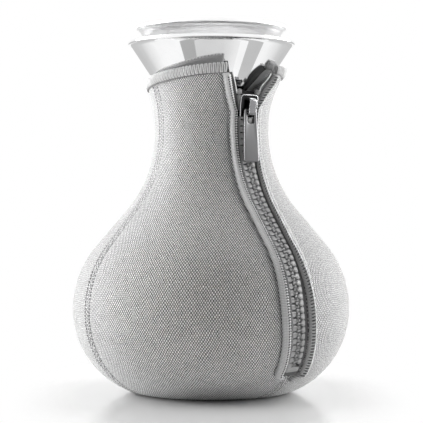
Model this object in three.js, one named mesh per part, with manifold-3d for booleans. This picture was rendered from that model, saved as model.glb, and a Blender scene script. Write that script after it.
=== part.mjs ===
// Tea maker: a glass flask in a zipped padded jacket, with a steel pouring collar, a strainer and a lid.
// Millimetres, +Z up, origin on the table under the middle of the base, the zip to the right of the front.
import * as THREE from "three";
import { mergeVertices } from "three/addons/utils/BufferGeometryUtils.js";
import Module from "manifold-3d";

const wasm = await Module();
wasm.setup();
const { sin, cos, asin, sqrt, min, max, PI } = Math;
const DEGREE = PI / 180;

// Jacket outline, outside, from the base up
const BODY_RADIUS = 80;
const LOWER_ARC = 50.5;
const BASE_ANGLE = 73 * DEGREE;
const UPPER_ARC = 57;
const SHOULDER_ANGLE = 40 * DEGREE;
const NECK_RADIUS = 32.85;
const NECK_ARC = 71.6;
const JACKET_THICKNESS = 3;
const HEM_RISE = 31.4; // above the narrowest place of the neck
const HEM_TILT = 4.3;
const HEM_TILT_AZIMUTH = 11.5 * DEGREE; // from the zip
const HEM_BAND = 4.8;
const HEM_PROUD = 0.9;
const SEAM_GAP = 0.3;
const SEAMS = [-95 * DEGREE, 92 * DEGREE, 180 * DEGREE]; // from the zip

// Zip
const ZIP_AZIMUTH = -55 * DEGREE; // from +X, so that it stands right of the front
const ZIP_END = 24; // along the outline from the base edge to the foot of the slot
const SLOT_HALF = 6.3;
const SLOT_ROUND = 7;
const TAPE_LAP = 2;
const TAPE_THICKNESS = 0.6;
const WELT_WIDTH = 5.2;
const WELT_RISE = 2.7;
const TOOTH_PITCH = 3.7;
const TOOTH_REACH = 4.3; // from the middle of the chain to a tooth's outer end
const TOOTH_HEAD = 1; // past the middle of the chain
const TOOTH_TAPER = 0.3; // narrowing of each flank towards the head
const TOOTH_HEIGHT = 2.8;
const CHAIN_LEVEL = -0.3; // of the teeth's middle, out from the jacket's face
const CORD_WIDTH = 1;
const STOP_LENGTH = 3.4;
const SPLIT_LEFT = 8.7; // how far each edge is folded aside at the hem
const SPLIT_RIGHT = 10;
const SPLIT_CURVE_LEFT = 1.05;
const SPLIT_CURVE_RIGHT = 2;

// Slider and pull
const SLIDER_DROP = 24.35; // its middle below the hem
const SLIDER_LENGTH = 13;
const PLATE = 1.1;
const FLANGE = 0.7;
const TAPE_SLOT = 1.3;
const WEDGE_LENGTH = 3.6;
const WEDGE_WIDTH = 1.4;
const WEDGE_INSET = 0.6;
const SLIDER_CORNER = 2;
const BRIDGE_LENGTH = 10;
const BRIDGE_WIDTH = 4.4;
const BRIDGE_BAR = 1.5;
const BRIDGE_SPACE = 2.6;
const PULL_LENGTH = 29;
const PULL_TOP = 8.2;
const PULL_WIDTH = 10.4;
const PULL_THICKNESS = 1.7;
const PULL_EYE = 6.9;
const PULL_ROD = 1.4;
const PULL_CORNER = 1.2;
const PULL_HANG = 12.5 * DEGREE; // swung out from the slider so that it hangs upright
const ROD_PLACE = -2.1; // above the middle of the bridge, so it hangs at the lower end

// Flask
const FLASK_GAP = 1.1;
const GLASS_WALL = 2.4;
const MOUTH_RISE = 16; // above the narrowest place of the neck

// Collar
const SEAL_WALL = 1.9;
const STEEL = 0.9;
const THROAT_DROP = 4; // below the narrowest place of the neck
const CONE_RISE = 14.5;
const RIM_RISE = 20.2; // above the middle of the hem
const HEM_CLEARANCE = 1.2;
const ROLL = 1.15;
const SEAL_LIP = 1.5;
const SEAL_INSET = 1; // above the throat's lower edge
const SEAL_STEP = 2; // below the flask's mouth

// Strainer
const STRAINER_LENGTH = 92;
const STRAINER_WALL = 0.7;
const STRAINER_SKIRT = 8;
const STRAINER_FLANGE = 5; // height of the flange up the cone
const SLOT_COLUMNS = 14;
const SLOT_ROWS = 3;
const SLOT_HEIGHT = 18;
const BASE_THICKNESS = 1.2;

// Lid
const LID_RISE = 9; // above the collar's rim
const LID_CHANNEL = 9.1; // between the lid and the collar, across
const LID_DEPTH = 29.3;
const PLUG_DEPTH = 15; // inside the strainer
const PLUG_FLANGE = 2.2;
const PLUG_GROOVE = 1.6;
const RING_HEIGHT = 4;
const SCREW_HEAD = 4.2;
const SCREW_SHANK = 2;
const SCREW_LENGTH = 11;
const SCREW_CROWN = 1.9;
const PLUG_CHAMFER = 1;

const GAP = 0.3; // between pieces that touch
const ROUND = 28; // sides of a turned piece

// Jacket outline as arcs and a straight shoulder, measured by the run along it from the base edge
const lowerLength = LOWER_ARC * BASE_ANGLE;
const bodyLength = lowerLength + UPPER_ARC * SHOULDER_ANGLE;
const bodyHeight = LOWER_ARC * sin(BASE_ANGLE);
const bothArcs = UPPER_ARC + NECK_ARC;
const inset = BODY_RADIUS - UPPER_ARC + bothArcs * cos(SHOULDER_ANGLE) - NECK_ARC - NECK_RADIUS;
const shoulderLength = inset / sin(SHOULDER_ANGLE);
const shoulderEnd = bodyLength + shoulderLength;
const waistRun = shoulderEnd + NECK_ARC * SHOULDER_ANGLE;
const waistHeight = bodyHeight + bothArcs * sin(SHOULDER_ANGLE) + shoulderLength * cos(SHOULDER_ANGLE);
const neckCentre = NECK_RADIUS + NECK_ARC;

function outline(run, out = 0) {
  if (run < lowerLength) {
    const turn = run / LOWER_ARC - BASE_ANGLE;
    const arc = LOWER_ARC + out;
    return [BODY_RADIUS - LOWER_ARC + arc * cos(turn), bodyHeight + arc * sin(turn)];
  }
  const turn = min((run - lowerLength) / UPPER_ARC, SHOULDER_ANGLE);
  if (run < shoulderEnd) {
    const arc = UPPER_ARC + out;
    const along = max(0, run - bodyLength);
    const radius = BODY_RADIUS - UPPER_ARC + arc * cos(turn) - along * sin(turn);
    return [radius, bodyHeight + arc * sin(turn) + along * cos(turn)];
  }
  const lean = (run - waistRun) / NECK_ARC;
  const arc = NECK_ARC - out;
  return [neckCentre - arc * cos(lean), waistHeight + arc * sin(lean)];
}

const polar = (radius, azimuth, height) => [radius * cos(azimuth), radius * sin(azimuth), height];

function onJacket(run, azimuth, out) {
  const [radius, height] = outline(run, out);
  return polar(radius, azimuth, height);
}

const neckRun = (rise) => waistRun + NECK_ARC * asin(rise / NECK_ARC);
const hemRun = (azimuth) => neckRun(HEM_RISE + HEM_TILT * cos(azimuth - HEM_TILT_AZIMUTH));
const neckInside = (rise, depth) => neckCentre - sqrt((NECK_ARC + depth) ** 2 - rise ** 2);

// Zip layout: the chain ends under the slider, and above it the two edges of the jacket part
const sliderRun = hemRun(0) - SLIDER_DROP;
const splitRun = sliderRun - (SLIDER_LENGTH / 2 - WEDGE_LENGTH);
const splitLength = hemRun(0) - splitRun;
const sides = [
  { name: "left", sign: -1, split: SPLIT_LEFT, curve: SPLIT_CURVE_LEFT },
  { name: "right", sign: 1, split: SPLIT_RIGHT, curve: SPLIT_CURVE_RIGHT },
];

const rowSide = sides[0]; // the slider's wedge parts both rows of teeth as far as the left edge
const teethTop = sliderRun + SLIDER_LENGTH / 2;

function parted(side, run) {
  return side.split * (max(0, run - splitRun) / splitLength) ** side.curve;
}

// Across the jacket from the zip's middle line to a place at a distance square to one slanting edge
function besideEdge(side, run, distance) {
  const share = max(0, run - splitRun) / splitLength;
  const slope = ((side.split * side.curve) / splitLength) * share ** (side.curve - 1);
  return parted(side, run) + distance * (share > 0 ? sqrt(1 + slope ** 2) : 1);
}

// Half-width of a round-ended slot that is wider than the zip's slot by a margin
function slotHalf(run, margin = 0) {
  const above = ZIP_END + SLOT_ROUND - run;
  const depth = SLOT_ROUND + margin;
  const share = above > 0 ? sqrt(max(0, 1 - (above / depth) ** 2)) : 1;
  return max(SEAM_GAP / 2, (SLOT_HALF + margin) * share);
}

function steps(from, to, count) {
  return Array.from({ length: count }, (_, i) => from + ((to - from) * (i + 1)) / count);
}

// Rows of the grids beside the zip: fixed up to where the edges part, then shared out up to the top edge
const panelFoot = ZIP_END - TAPE_LAP;
const SPLIT_ROWS = 4;
const fixedRows = [
  0,
  ...steps(0, panelFoot, 2),
  ...steps(panelFoot, ZIP_END + SLOT_ROUND, 5),
  ...steps(ZIP_END + SLOT_ROUND, bodyLength, 5),
  shoulderEnd,
  ...steps(shoulderEnd, splitRun, 6),
];

function rowRun(rows, i, topAt, azimuthAt) {
  if (i < rows.length) return rows[i];
  const share = (i - rows.length + 1) / SPLIT_ROWS;
  let run = splitRun + share * (topAt(0) - splitRun);
  for (let pass = 0; pass < 4; pass++) run = splitRun + share * (topAt(azimuthAt(run)) - splitRun);
  return run;
}

// Closed sheet from its two faces: point(i, j, face) with face 1 outside and 0 inside
function sheet(rows, columns, point) {
  const positions = [];
  const index = [];
  const at = (i, j, face) => (i * (columns + 1) + j) * 2 + face;
  const quad = (a, b, c, d) => index.push(a, b, c, a, c, d);
  for (let i = 0; i <= rows; i++)
    for (let j = 0; j <= columns; j++) positions.push(...point(i, j, 0), ...point(i, j, 1));
  for (let i = 0; i < rows; i++) {
    for (let j = 0; j < columns; j++) {
      quad(at(i, j, 1), at(i, j + 1, 1), at(i + 1, j + 1, 1), at(i + 1, j, 1));
      quad(at(i, j, 0), at(i + 1, j, 0), at(i + 1, j + 1, 0), at(i, j + 1, 0));
    }
    quad(at(i, 0, 0), at(i, 0, 1), at(i + 1, 0, 1), at(i + 1, 0, 0));
    quad(at(i, columns, 0), at(i + 1, columns, 0), at(i + 1, columns, 1), at(i, columns, 1));
  }
  for (let j = 0; j < columns; j++) {
    quad(at(0, j, 0), at(0, j + 1, 0), at(0, j + 1, 1), at(0, j, 1));
    quad(at(rows, j, 0), at(rows, j, 1), at(rows, j + 1, 1), at(rows, j + 1, 0));
  }
  return fromArrays(positions, index);
}

function fromArrays(positions, index) {
  const geometry = new THREE.BufferGeometry();
  geometry.setAttribute("position", new THREE.Float32BufferAttribute(positions, 3));
  geometry.setIndex(index);
  geometry.computeVertexNormals();
  return geometry;
}

// Adding and taking away solids
function solid(geometry) {
  const bare = new THREE.BufferGeometry();
  bare.setAttribute("position", geometry.attributes.position.clone());
  if (geometry.index) bare.setIndex(geometry.index);
  const welded = mergeVertices(bare, 1e-4);
  const vertProperties = new Float32Array(welded.attributes.position.array);
  const triVerts = new Uint32Array(welded.index.array);
  return new wasm.Manifold(new wasm.Mesh({ numProp: 3, vertProperties, triVerts }));
}

function unsolid(body) {
  const { vertProperties, triVerts } = body.getMesh();
  return fromArrays(Array.from(vertProperties), Array.from(triVerts));
}

const joined = (pieces) => unsolid(wasm.Manifold.union(pieces.map(solid)));

// A piece turned about Z from points of its half section, listed anticlockwise
function turned(points, segments = ROUND) {
  const profile = points.map(([radius, height]) => new THREE.Vector2(radius, height));
  return new THREE.LatheGeometry(profile, segments).rotateX(PI / 2);
}

const closed = (points) => [...points, points[0]];

function plate(points, thickness) {
  const shape = new THREE.Shape(points.map(([x, y]) => new THREE.Vector2(x, y)));
  return new THREE.ExtrudeGeometry(shape, { depth: thickness, bevelEnabled: false });
}

// Jacket panels between two seams, or between a seam and the zip
function panel(columns, rows, leftAt, rightAt) {
  const top = (azimuth) => hemRun(azimuth) - HEM_BAND - GAP;
  const point = (i, j, face) => {
    const azimuthAt = (run) => leftAt(run) + ((rightAt(run) - leftAt(run)) * j) / columns;
    const run = rowRun(rows, i, top, azimuthAt);
    return onJacket(run, azimuthAt(run), face ? 0 : -JACKET_THICKNESS);
  };
  return sheet(rows.length - 1 + SPLIT_ROWS, columns, point);
}

const seamEdge = (azimuth, side) => (run) => azimuth + (side * SEAM_GAP) / 2 / outline(run)[0];

function zipEdge(side) {
  return (run) => (side.sign * besideEdge(side, run, slotHalf(run, TAPE_LAP))) / outline(run)[0];
}

const plainRows = [0, ...steps(0, bodyLength, 7), shoulderEnd, ...steps(shoulderEnd, splitRun, 3)];

function jacketBase() {
  const [outer] = outline(0);
  const [inner, height] = outline(0, -JACKET_THICKNESS);
  return turned([[0, 0], [outer - SEAM_GAP, 0], [inner - SEAM_GAP, height], [0, height]]);
}

// Hem band, from the right-hand corner of the opening round the back to the left-hand one
function hemBand() {
  const columns = 34;
  const corner = (side) => (side.sign * besideEdge(side, hemRun(0), SLOT_HALF)) / outline(hemRun(0))[0];
  const start = corner(sides[1]);
  const end = 2 * PI + corner(sides[0]);
  const levels = [0, 0.25, 0.75, 1];
  const swell = [0.2, 1, 1, 0.2];
  return sheet(levels.length - 1, columns, (i, j, face) => {
    const azimuth = start + ((end - start) * j) / columns;
    const run = hemRun(azimuth) - HEM_BAND * (1 - levels[i]);
    return onJacket(run, azimuth, face ? HEM_PROUD * swell[i] : -JACKET_THICKNESS);
  });
}

// Strip along one edge of the zip: across gives its two edges from the middle line, out its two faces
function zipStrip(side, fromRun, topDrop, columns, across, out) {
  const rows = [fromRun, ...fixedRows.filter((run) => run > fromRun + TAPE_THICKNESS)];
  const top = (azimuth) => hemRun(azimuth) - topDrop;
  const point = (i, j, face) => {
    const share = side.sign > 0 ? j / columns : 1 - j / columns;
    const azimuthAt = (run) => {
      const [inner, outer] = across(run);
      return (side.sign * (inner + (outer - inner) * share)) / outline(run)[0];
    };
    const run = rowRun(rows, i, top, azimuthAt);
    return onJacket(run, azimuthAt(run), out(share, face));
  };
  return sheet(rows.length - 1 + SPLIT_ROWS, columns, point);
}

const tapeTop = CHAIN_LEVEL + TAPE_THICKNESS / 2;

function welt(side) {
  const crown = (share) => WELT_RISE * (0.45 + 0.55 * sin(PI * share));
  const across = (run) => [0, WELT_WIDTH].map((margin) => besideEdge(side, run, slotHalf(run, margin)));
  const foot = ZIP_END - WELT_WIDTH + SEAM_GAP;
  const out = (share, face) => tapeTop + GAP + (face ? crown(share) : 0);
  return zipStrip(side, foot, HEM_BAND + GAP, 3, across, out);
}

const teethFoot = ZIP_END + SLOT_ROUND;

function tape(side) {
  const across = (run) => [
    besideEdge(rowSide, run, TOOTH_REACH + GAP),
    besideEdge(side, run, slotHalf(run, TAPE_LAP) - GAP),
  ];
  const out = (share, face) => tapeTop - (face ? 0 : TAPE_THICKNESS);
  return zipStrip(side, teethFoot, HEM_BAND + GAP, 1, across, out);
}

// Place on a row of teeth: x towards the other row, y along the row, z out of the jacket
function chainPlace(side, run) {
  const place = (at) => {
    const azimuth = (side.sign * parted(rowSide, at)) / outline(at)[0];
    return new THREE.Vector3(...onJacket(at, azimuth, CHAIN_LEVEL));
  };
  const azimuth = (side.sign * parted(rowSide, run)) / outline(run)[0];
  const onFace = new THREE.Vector3(...onJacket(run, azimuth, 0));
  const normal = new THREE.Vector3(...onJacket(run, azimuth, 1)).sub(onFace);
  const along = place(run + GAP).sub(place(run - GAP)).normalize().multiplyScalar(-side.sign);
  const inward = new THREE.Vector3().crossVectors(along, normal).normalize();
  const out = new THREE.Vector3().crossVectors(inward, along);
  return new THREE.Matrix4().makeBasis(inward, along, out).setPosition(place(run));
}

// One row: separate teeth on the corded edge of the tape
function teeth(side) {
  const middle = TOOTH_PITCH / 4 - GAP / 2;
  const shoulder = -TOOTH_HEAD - GAP;
  const half = middle - TOOTH_TAPER * shoulder;
  const tip = middle - TOOTH_TAPER * TOOTH_HEAD;
  const profile = [
    [-TOOTH_REACH, -half],
    [shoulder, -half],
    [TOOTH_HEAD, -tip],
    [TOOTH_HEAD, tip],
    [shoulder, half],
    [-TOOTH_REACH, half],
  ];
  const tooth = plate(profile, TOOTH_HEIGHT).translate(0, 0, -TOOTH_HEIGHT / 2);
  const first = teethFoot + STOP_LENGTH + GAP + half + (side.sign > 0 ? TOOTH_PITCH / 2 : 0);
  const pieces = [];
  for (let run = first; run + half < teethTop; run += TOOTH_PITCH)
    pieces.push(tooth.clone().applyMatrix4(chainPlace(side, run)));
  const links = pieces.length - 1;
  const outer = CORD_WIDTH / 2 - TOOTH_REACH;
  const cord = sheet(links, 1, (i, j, face) => {
    const place = chainPlace(side, first + i * TOOTH_PITCH);
    const flip = side.sign > 0 ? 1 - j : j;
    const corner = [outer + flip * CORD_WIDTH, 0, (face - 0.5) * CORD_WIDTH];
    return new THREE.Vector3(...corner).applyMatrix4(place).toArray();
  });
  return joined([cord, ...pieces]);
}

function topStop(side) {
  const run = teethTop + GAP + STOP_LENGTH / 2;
  const block = new THREE.BoxGeometry(TOOTH_REACH, STOP_LENGTH - GAP, TOOTH_HEIGHT);
  return block.translate(-TOOTH_REACH / 2, 0, 0).applyMatrix4(chainPlace(side, run));
}

function bottomStop() {
  const block = new THREE.BoxGeometry(TOOTH_REACH * 2, STOP_LENGTH, TOOTH_HEIGHT);
  return block.applyMatrix4(chainPlace(sides[0], teethFoot + STOP_LENGTH / 2));
}

// Slider: two plates with side flanges, joined by a wedge at the upper end, and a bridge for the pull
const bow = SLIDER_LENGTH ** 2 / 8 / NECK_ARC;
const plateUnder = -TOOTH_HEIGHT / 2 - GAP;
const plateOver = TOOTH_HEIGHT / 2 + GAP + bow;
const bridgeFoot = plateOver + PLATE;
const rodLevel = bridgeFoot + BRIDGE_SPACE / 2;

function slider() {
  const top = SLIDER_LENGTH / 2;
  const wide = SLOT_HALF - GAP;
  const rail = TOOTH_REACH + GAP;
  const narrow = rail + FLANGE;
  const railTop = splitRun - sliderRun;
  const corner = SLIDER_CORNER;
  const shield = [[-narrow, -top], [narrow, -top], [wide, 0], [wide, top - corner], [wide - corner, top]];
  const face = plate([...shield, ...shield.slice(2).reverse().map(([x, y]) => [-x, y])], PLATE);
  const edge = [[rail, -top], [narrow, -top], [narrow, railTop], [rail, railTop]];
  const mirror = edge.map(([x, y]) => [-x, y]).reverse();
  const wedgeTop = top - WEDGE_INSET;
  const wedge = [
    [0, wedgeTop - WEDGE_LENGTH],
    [WEDGE_WIDTH / 2, wedgeTop - WEDGE_LENGTH / 2],
    [0, wedgeTop],
    [-WEDGE_WIDTH / 2, wedgeTop - WEDGE_LENGTH / 2],
  ];
  const upperFlange = plateOver - TAPE_SLOT / 2;
  const lowerFlange = -TAPE_SLOT / 2 - plateUnder;
  const pieces = [face.clone().translate(0, 0, plateUnder - PLATE), face.translate(0, 0, plateOver)];
  for (const flange of [edge, mirror]) {
    pieces.push(plate(flange, upperFlange + PLATE / 2).translate(0, 0, TAPE_SLOT / 2));
    pieces.push(plate(flange, lowerFlange + PLATE / 2).translate(0, 0, plateUnder - PLATE / 2));
  }
  pieces.push(plate(wedge, plateOver - plateUnder + PLATE).translate(0, 0, plateUnder - PLATE / 2));
  pieces.push(bridge());
  return joined(pieces);
}

// Bridge: an arch along the slider, wide enough for the pull's rod to turn under it
function bridge() {
  const half = BRIDGE_LENGTH / 2;
  const rise = BRIDGE_SPACE + BRIDGE_BAR;
  const corner = BRIDGE_BAR;
  const arch = [
    [-half, -PLATE / 2],
    [-half + BRIDGE_BAR, -PLATE / 2],
    [-half + BRIDGE_BAR, BRIDGE_SPACE],
    [half - BRIDGE_BAR, BRIDGE_SPACE],
    [half - BRIDGE_BAR, -PLATE / 2],
    [half, -PLATE / 2],
    [half, rise - corner],
    [half - corner, rise],
    [-half + corner, rise],
    [-half, rise - corner],
  ];
  const across = plate(arch, BRIDGE_WIDTH).translate(0, 0, -BRIDGE_WIDTH / 2);
  const turn = new THREE.Matrix4().makeBasis(axis(0, 1, 0), axis(0, 0, 1), axis(1, 0, 0));
  return across.applyMatrix4(turn).translate(0, 0, bridgeFoot);
}

const axis = (x, y, z) => new THREE.Vector3(x, y, z);

// Pull: a bare flat tab with an eye, its upper bar the rod that turns under the bridge
function pull() {
  const half = PULL_WIDTH / 2;
  const top = PULL_TOP / 2;
  const rod = PULL_ROD / 2;
  const round = PULL_CORNER;
  const shape = new THREE.Shape();
  shape.moveTo(-top, rod - round);
  shape.quadraticCurveTo(-top, rod, -top + round, rod);
  shape.lineTo(top - round, rod);
  shape.quadraticCurveTo(top, rod, top, rod - round);
  shape.lineTo(half, -PULL_LENGTH + round);
  shape.quadraticCurveTo(half, -PULL_LENGTH, half - round, -PULL_LENGTH);
  shape.lineTo(-half + round, -PULL_LENGTH);
  shape.quadraticCurveTo(-half, -PULL_LENGTH, -half, -PULL_LENGTH + round);
  const eye = new THREE.Path();
  const side = BRIDGE_WIDTH / 2 + GAP;
  eye.moveTo(-side, -rod);
  eye.lineTo(-side, -PULL_EYE);
  eye.lineTo(side, -PULL_EYE);
  eye.lineTo(side, -rod);
  shape.holes.push(eye);
  const options = { depth: PULL_THICKNESS, bevelEnabled: false, curveSegments: 3 };
  return new THREE.ExtrudeGeometry(shape, options).translate(0, 0, -PULL_THICKNESS / 2);
}

// Flask: the jacket's outline moved in, with a rounded lip at the mouth
const glassOut = -JACKET_THICKNESS - FLASK_GAP;
const glassIn = glassOut - GLASS_WALL;
const flaskLip = outline(neckRun(MOUTH_RISE) + GLASS_WALL / 3, (glassOut + glassIn) / 2);

function flask() {
  const runs = [0, ...steps(0, bodyLength, 6), shoulderEnd, ...steps(shoulderEnd, neckRun(MOUTH_RISE), 7)];
  const outer = runs.map((run) => outline(run, glassOut));
  const inner = runs.map((run) => outline(run, glassIn)).reverse();
  return turned([[0, outer[0][1]], ...outer, flaskLip, ...inner, [0, inner.at(-1)[1]]]);
}

// Collar: a throat in the neck and a cone that leans out as far as the hem lets it
const neckBore = NECK_RADIUS + glassIn;
const throatRadius = neckBore - GAP - SEAL_WALL - GAP;
const throatFoot = waistHeight - THROAT_DROP;
const coneFoot = waistHeight + CONE_RISE;
const rimHeight = waistHeight + HEM_RISE + RIM_RISE;
const hemRises = steps(HEM_RISE - HEM_TILT - HEM_BAND, HEM_RISE + HEM_TILT, 12);
const lean = min(...hemRises.map((rise) => {
  const room = neckInside(rise, JACKET_THICKNESS) - HEM_CLEARANCE - throatRadius;
  return room / (rise - CONE_RISE);
}));
const slant = sqrt(1 + lean ** 2);
const coneRadius = (height) => throatRadius + lean * (height - coneFoot);

// Rolled rim round the end of a sheet that leans out, from its outer face to its inner face
function roll(radius, height) {
  const along = new THREE.Vector2(lean, 1).normalize();
  const out = new THREE.Vector2(along.y, -along.x);
  const start = -Math.acos(STEEL / 2 / ROLL);
  const turns = 7;
  return Array.from({ length: turns + 1 }, (_, i) => {
    const angle = start + ((PI - 2 * start) * i) / turns;
    const x = radius + ROLL * (cos(angle) * out.x + sin(angle) * along.x);
    return [x, height + ROLL * (cos(angle) * out.y + sin(angle) * along.y)];
  });
}

const coneInside = (height) => coneRadius(height) - STEEL * slant;

function collar() {
  const inside = throatRadius - STEEL;
  const bend = coneFoot + (STEEL * slant - STEEL) / lean;
  const middle = coneRadius(rimHeight) - (STEEL * slant) / 2;
  const section = [
    [inside, throatFoot],
    [throatRadius, throatFoot],
    [throatRadius, coneFoot],
    ...roll(middle, rimHeight - ROLL),
    [inside, bend],
  ];
  return turned(closed(section), ROUND + 12);
}

// Seal: a ribbed sleeve between throat and neck, with a flange over the flask's lip
function collarSeal() {
  const inside = throatRadius + GAP;
  const bore = (rise) => neckInside(rise, -glassIn) - GAP;
  const valley = (rise) => min(bore(rise) - SEAL_LIP / 2, inside + SEAL_WALL / 2);
  const lipTop = flaskLip[1] - waistHeight + GAP;
  const flange = neckInside(MOUTH_RISE, -glassOut) - GAP;
  const foot = SEAL_INSET - THROAT_DROP;
  const step = MOUTH_RISE - SEAL_STEP;
  const outer = [[valley(foot), foot]];
  for (const rise of [0, MOUTH_RISE / 3]) {
    const [under, over] = [rise - SEAL_LIP, rise + SEAL_LIP];
    outer.push([valley(under), under], [bore(rise), rise], [valley(over), over]);
  }
  const top = lipTop + SEAL_LIP;
  const cone = (rise) => coneRadius(waistHeight + rise) + GAP * slant;
  const section = [
    [inside, foot],
    ...outer,
    [bore(step), step],
    [bore(step), lipTop],
    [flange, lipTop],
    [flange, top],
    [cone(top), top],
    [inside, CONE_RISE],
  ];
  return turned(closed(section.map(([radius, rise]) => [radius, waistHeight + rise])));
}

// Strainer: a flanged rim that sits in the cone, a slotted basket and its base
const skirtOuter = throatRadius - STEEL - GAP;
const skirtInner = skirtOuter - STRAINER_WALL;
const rimTop = coneFoot + STRAINER_FLANGE;
const skirtFoot = coneFoot - STRAINER_SKIRT;
const basketOuter = skirtInner - GAP;
const basketInner = basketOuter - STRAINER_WALL;
const basketFoot = rimTop - STRAINER_LENGTH;

function strainerRim() {
  const flangeOuter = (height) => coneInside(height) - GAP * slant;
  const flangeInner = (height) => flangeOuter(height) - STRAINER_WALL * slant;
  const bendOut = coneFoot + (throatRadius - flangeOuter(coneFoot) - (throatRadius - skirtOuter)) / lean;
  const bendIn = coneFoot + (throatRadius - flangeInner(coneFoot) - (throatRadius - skirtInner)) / lean;
  return turned(closed([
    [skirtInner, skirtFoot],
    [skirtOuter, skirtFoot],
    [skirtOuter, bendOut],
    [flangeOuter(rimTop), rimTop],
    [flangeInner(rimTop), rimTop],
    [skirtInner, bendIn],
  ]));
}

// Slotted tube: a grid of cells round the axis, open where a slot is
function basket() {
  const top = skirtFoot + STRAINER_SKIRT - GAP;
  const foot = basketFoot + BASE_THICKNESS + GAP;
  const pitch = (top - STRAINER_SKIRT - foot) / SLOT_ROWS;
  const slot = min(SLOT_HEIGHT, pitch - STRAINER_WALL * 2);
  const heights = [foot];
  for (let row = 0; row < SLOT_ROWS; row++) {
    const middle = foot + pitch * (row + 0.5);
    heights.push(middle - slot / 2, middle + slot / 2);
  }
  heights.push(top);
  const columns = SLOT_COLUMNS * 2;
  const rows = heights.length - 1;
  const open = (i, j) => i % 2 === 1 && ((j + columns) % columns) % 2 === 1;
  const filled = (i, j) => i >= 0 && i < rows && !open(i, j);
  const positions = [];
  for (const height of heights)
    for (let j = 0; j < columns; j++)
      for (const radius of [basketInner, basketOuter])
        positions.push(...polar(radius, (2 * PI * (j + (j % 2) * 0.25 - 0.125)) / columns, height));
  const index = [];
  const at = (i, j, face) => (i * columns + ((j + columns) % columns)) * 2 + face;
  const quad = (a, b, c, d) => index.push(a, b, c, a, c, d);
  for (let i = 0; i < rows; i++) {
    for (let j = 0; j < columns; j++) {
      if (!filled(i, j)) continue;
      quad(at(i, j, 1), at(i, j + 1, 1), at(i + 1, j + 1, 1), at(i + 1, j, 1));
      quad(at(i, j, 0), at(i + 1, j, 0), at(i + 1, j + 1, 0), at(i, j + 1, 0));
      if (!filled(i - 1, j)) quad(at(i, j, 0), at(i, j + 1, 0), at(i, j + 1, 1), at(i, j, 1));
      if (!filled(i + 1, j)) quad(at(i + 1, j, 0), at(i + 1, j, 1), at(i + 1, j + 1, 1), at(i + 1, j + 1, 0));
      if (!filled(i, j - 1)) quad(at(i, j, 0), at(i, j, 1), at(i + 1, j, 1), at(i + 1, j, 0));
      if (!filled(i, j + 1)) quad(at(i, j + 1, 0), at(i + 1, j + 1, 0), at(i + 1, j + 1, 1), at(i, j + 1, 1));
    }
  }
  return fromArrays(positions, index);
}

function basketBase() {
  const collarTop = basketFoot + BASE_THICKNESS * 4;
  const inside = basketInner - GAP;
  return turned([
    [0, basketFoot],
    [basketOuter - STRAINER_WALL, basketFoot],
    [basketOuter, basketFoot + STRAINER_WALL],
    [basketOuter, basketFoot + BASE_THICKNESS],
    [inside, basketFoot + BASE_THICKNESS],
    [inside, collarTop],
    [inside - STRAINER_WALL, collarTop],
    [inside - STRAINER_WALL, basketFoot + BASE_THICKNESS],
    [0, basketFoot + BASE_THICKNESS],
  ]);
}

// Lid: a flared cup parallel to the collar, on a plug that seals in the strainer's mouth
const lidTop = rimHeight + LID_RISE;
const lidFloor = lidTop - LID_DEPTH;
const lidOutside = (height) => coneInside(height) - LID_CHANNEL;
const lidInside = (height) => lidOutside(height) - STEEL * slant;
const plugTop = lidFloor - GAP;
const plugFlange = rimTop + GAP;
const plugRadius = basketInner - GAP - PLUG_GROOVE / 2;
const plugFoot = plugFlange - PLUG_DEPTH;
const ringFoot = coneFoot - RING_HEIGHT;

function lidCup() {
  const middle = lidOutside(lidTop - ROLL) - (STEEL * slant) / 2;
  return turned([
    [SCREW_SHANK + GAP, lidFloor],
    [lidOutside(lidFloor), lidFloor],
    ...roll(middle, lidTop - ROLL),
    [lidInside(lidFloor + STEEL), lidFloor + STEEL],
    [SCREW_SHANK + GAP, lidFloor + STEEL],
    [SCREW_SHANK + GAP, lidFloor],
  ], ROUND + 12);
}

function lidPlug() {
  const hole = SCREW_SHANK + GAP;
  const holeFoot = plugTop - SCREW_LENGTH;
  const groove = plugRadius - PLUG_GROOVE;
  const seat = coneInside(rimTop) - GAP * slant;
  return turned([
    [0, plugFoot],
    [plugRadius - PLUG_CHAMFER, plugFoot],
    [plugRadius, plugFoot + PLUG_CHAMFER],
    [plugRadius, ringFoot],
    [groove, ringFoot],
    [groove, ringFoot + RING_HEIGHT],
    [plugRadius, ringFoot + RING_HEIGHT],
    [plugRadius, plugFlange],
    [seat, plugFlange],
    [seat, plugFlange + PLUG_FLANGE],
    [min(seat, lidOutside(lidFloor) - PLUG_CHAMFER), plugTop],
    [hole, plugTop],
    [hole, holeFoot],
    [0, holeFoot],
  ]);
}

function lidSeal() {
  const inside = plugRadius - PLUG_GROOVE + GAP;
  const lip = basketInner - GAP;
  const foot = ringFoot + GAP;
  const top = ringFoot + RING_HEIGHT - GAP;
  const third = (top - foot) / 4;
  return turned(closed([
    [inside, foot],
    [plugRadius, foot],
    [lip, foot + third],
    [plugRadius, foot + 2 * third],
    [lip, foot + 3 * third],
    [plugRadius, top],
    [inside, top],
  ]));
}

function lidScrew() {
  const under = lidFloor + STEEL + GAP;
  return turned([
    [0, plugTop - SCREW_LENGTH + GAP],
    [SCREW_SHANK, plugTop - SCREW_LENGTH + GAP],
    [SCREW_SHANK, under],
    [SCREW_HEAD, under],
    [SCREW_HEAD, under + SCREW_CROWN / 2],
    [SCREW_SHANK, under + SCREW_CROWN],
    [0, under + SCREW_CROWN],
  ], 12);
}

function material(color, roughness, metalness) {
  return new THREE.MeshStandardMaterial({ color, roughness, metalness });
}

function add(parent, name, geometry, finish) {
  const mesh = new THREE.Mesh(geometry, material(...finish));
  mesh.name = name;
  parent.add(mesh);
}

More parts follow.
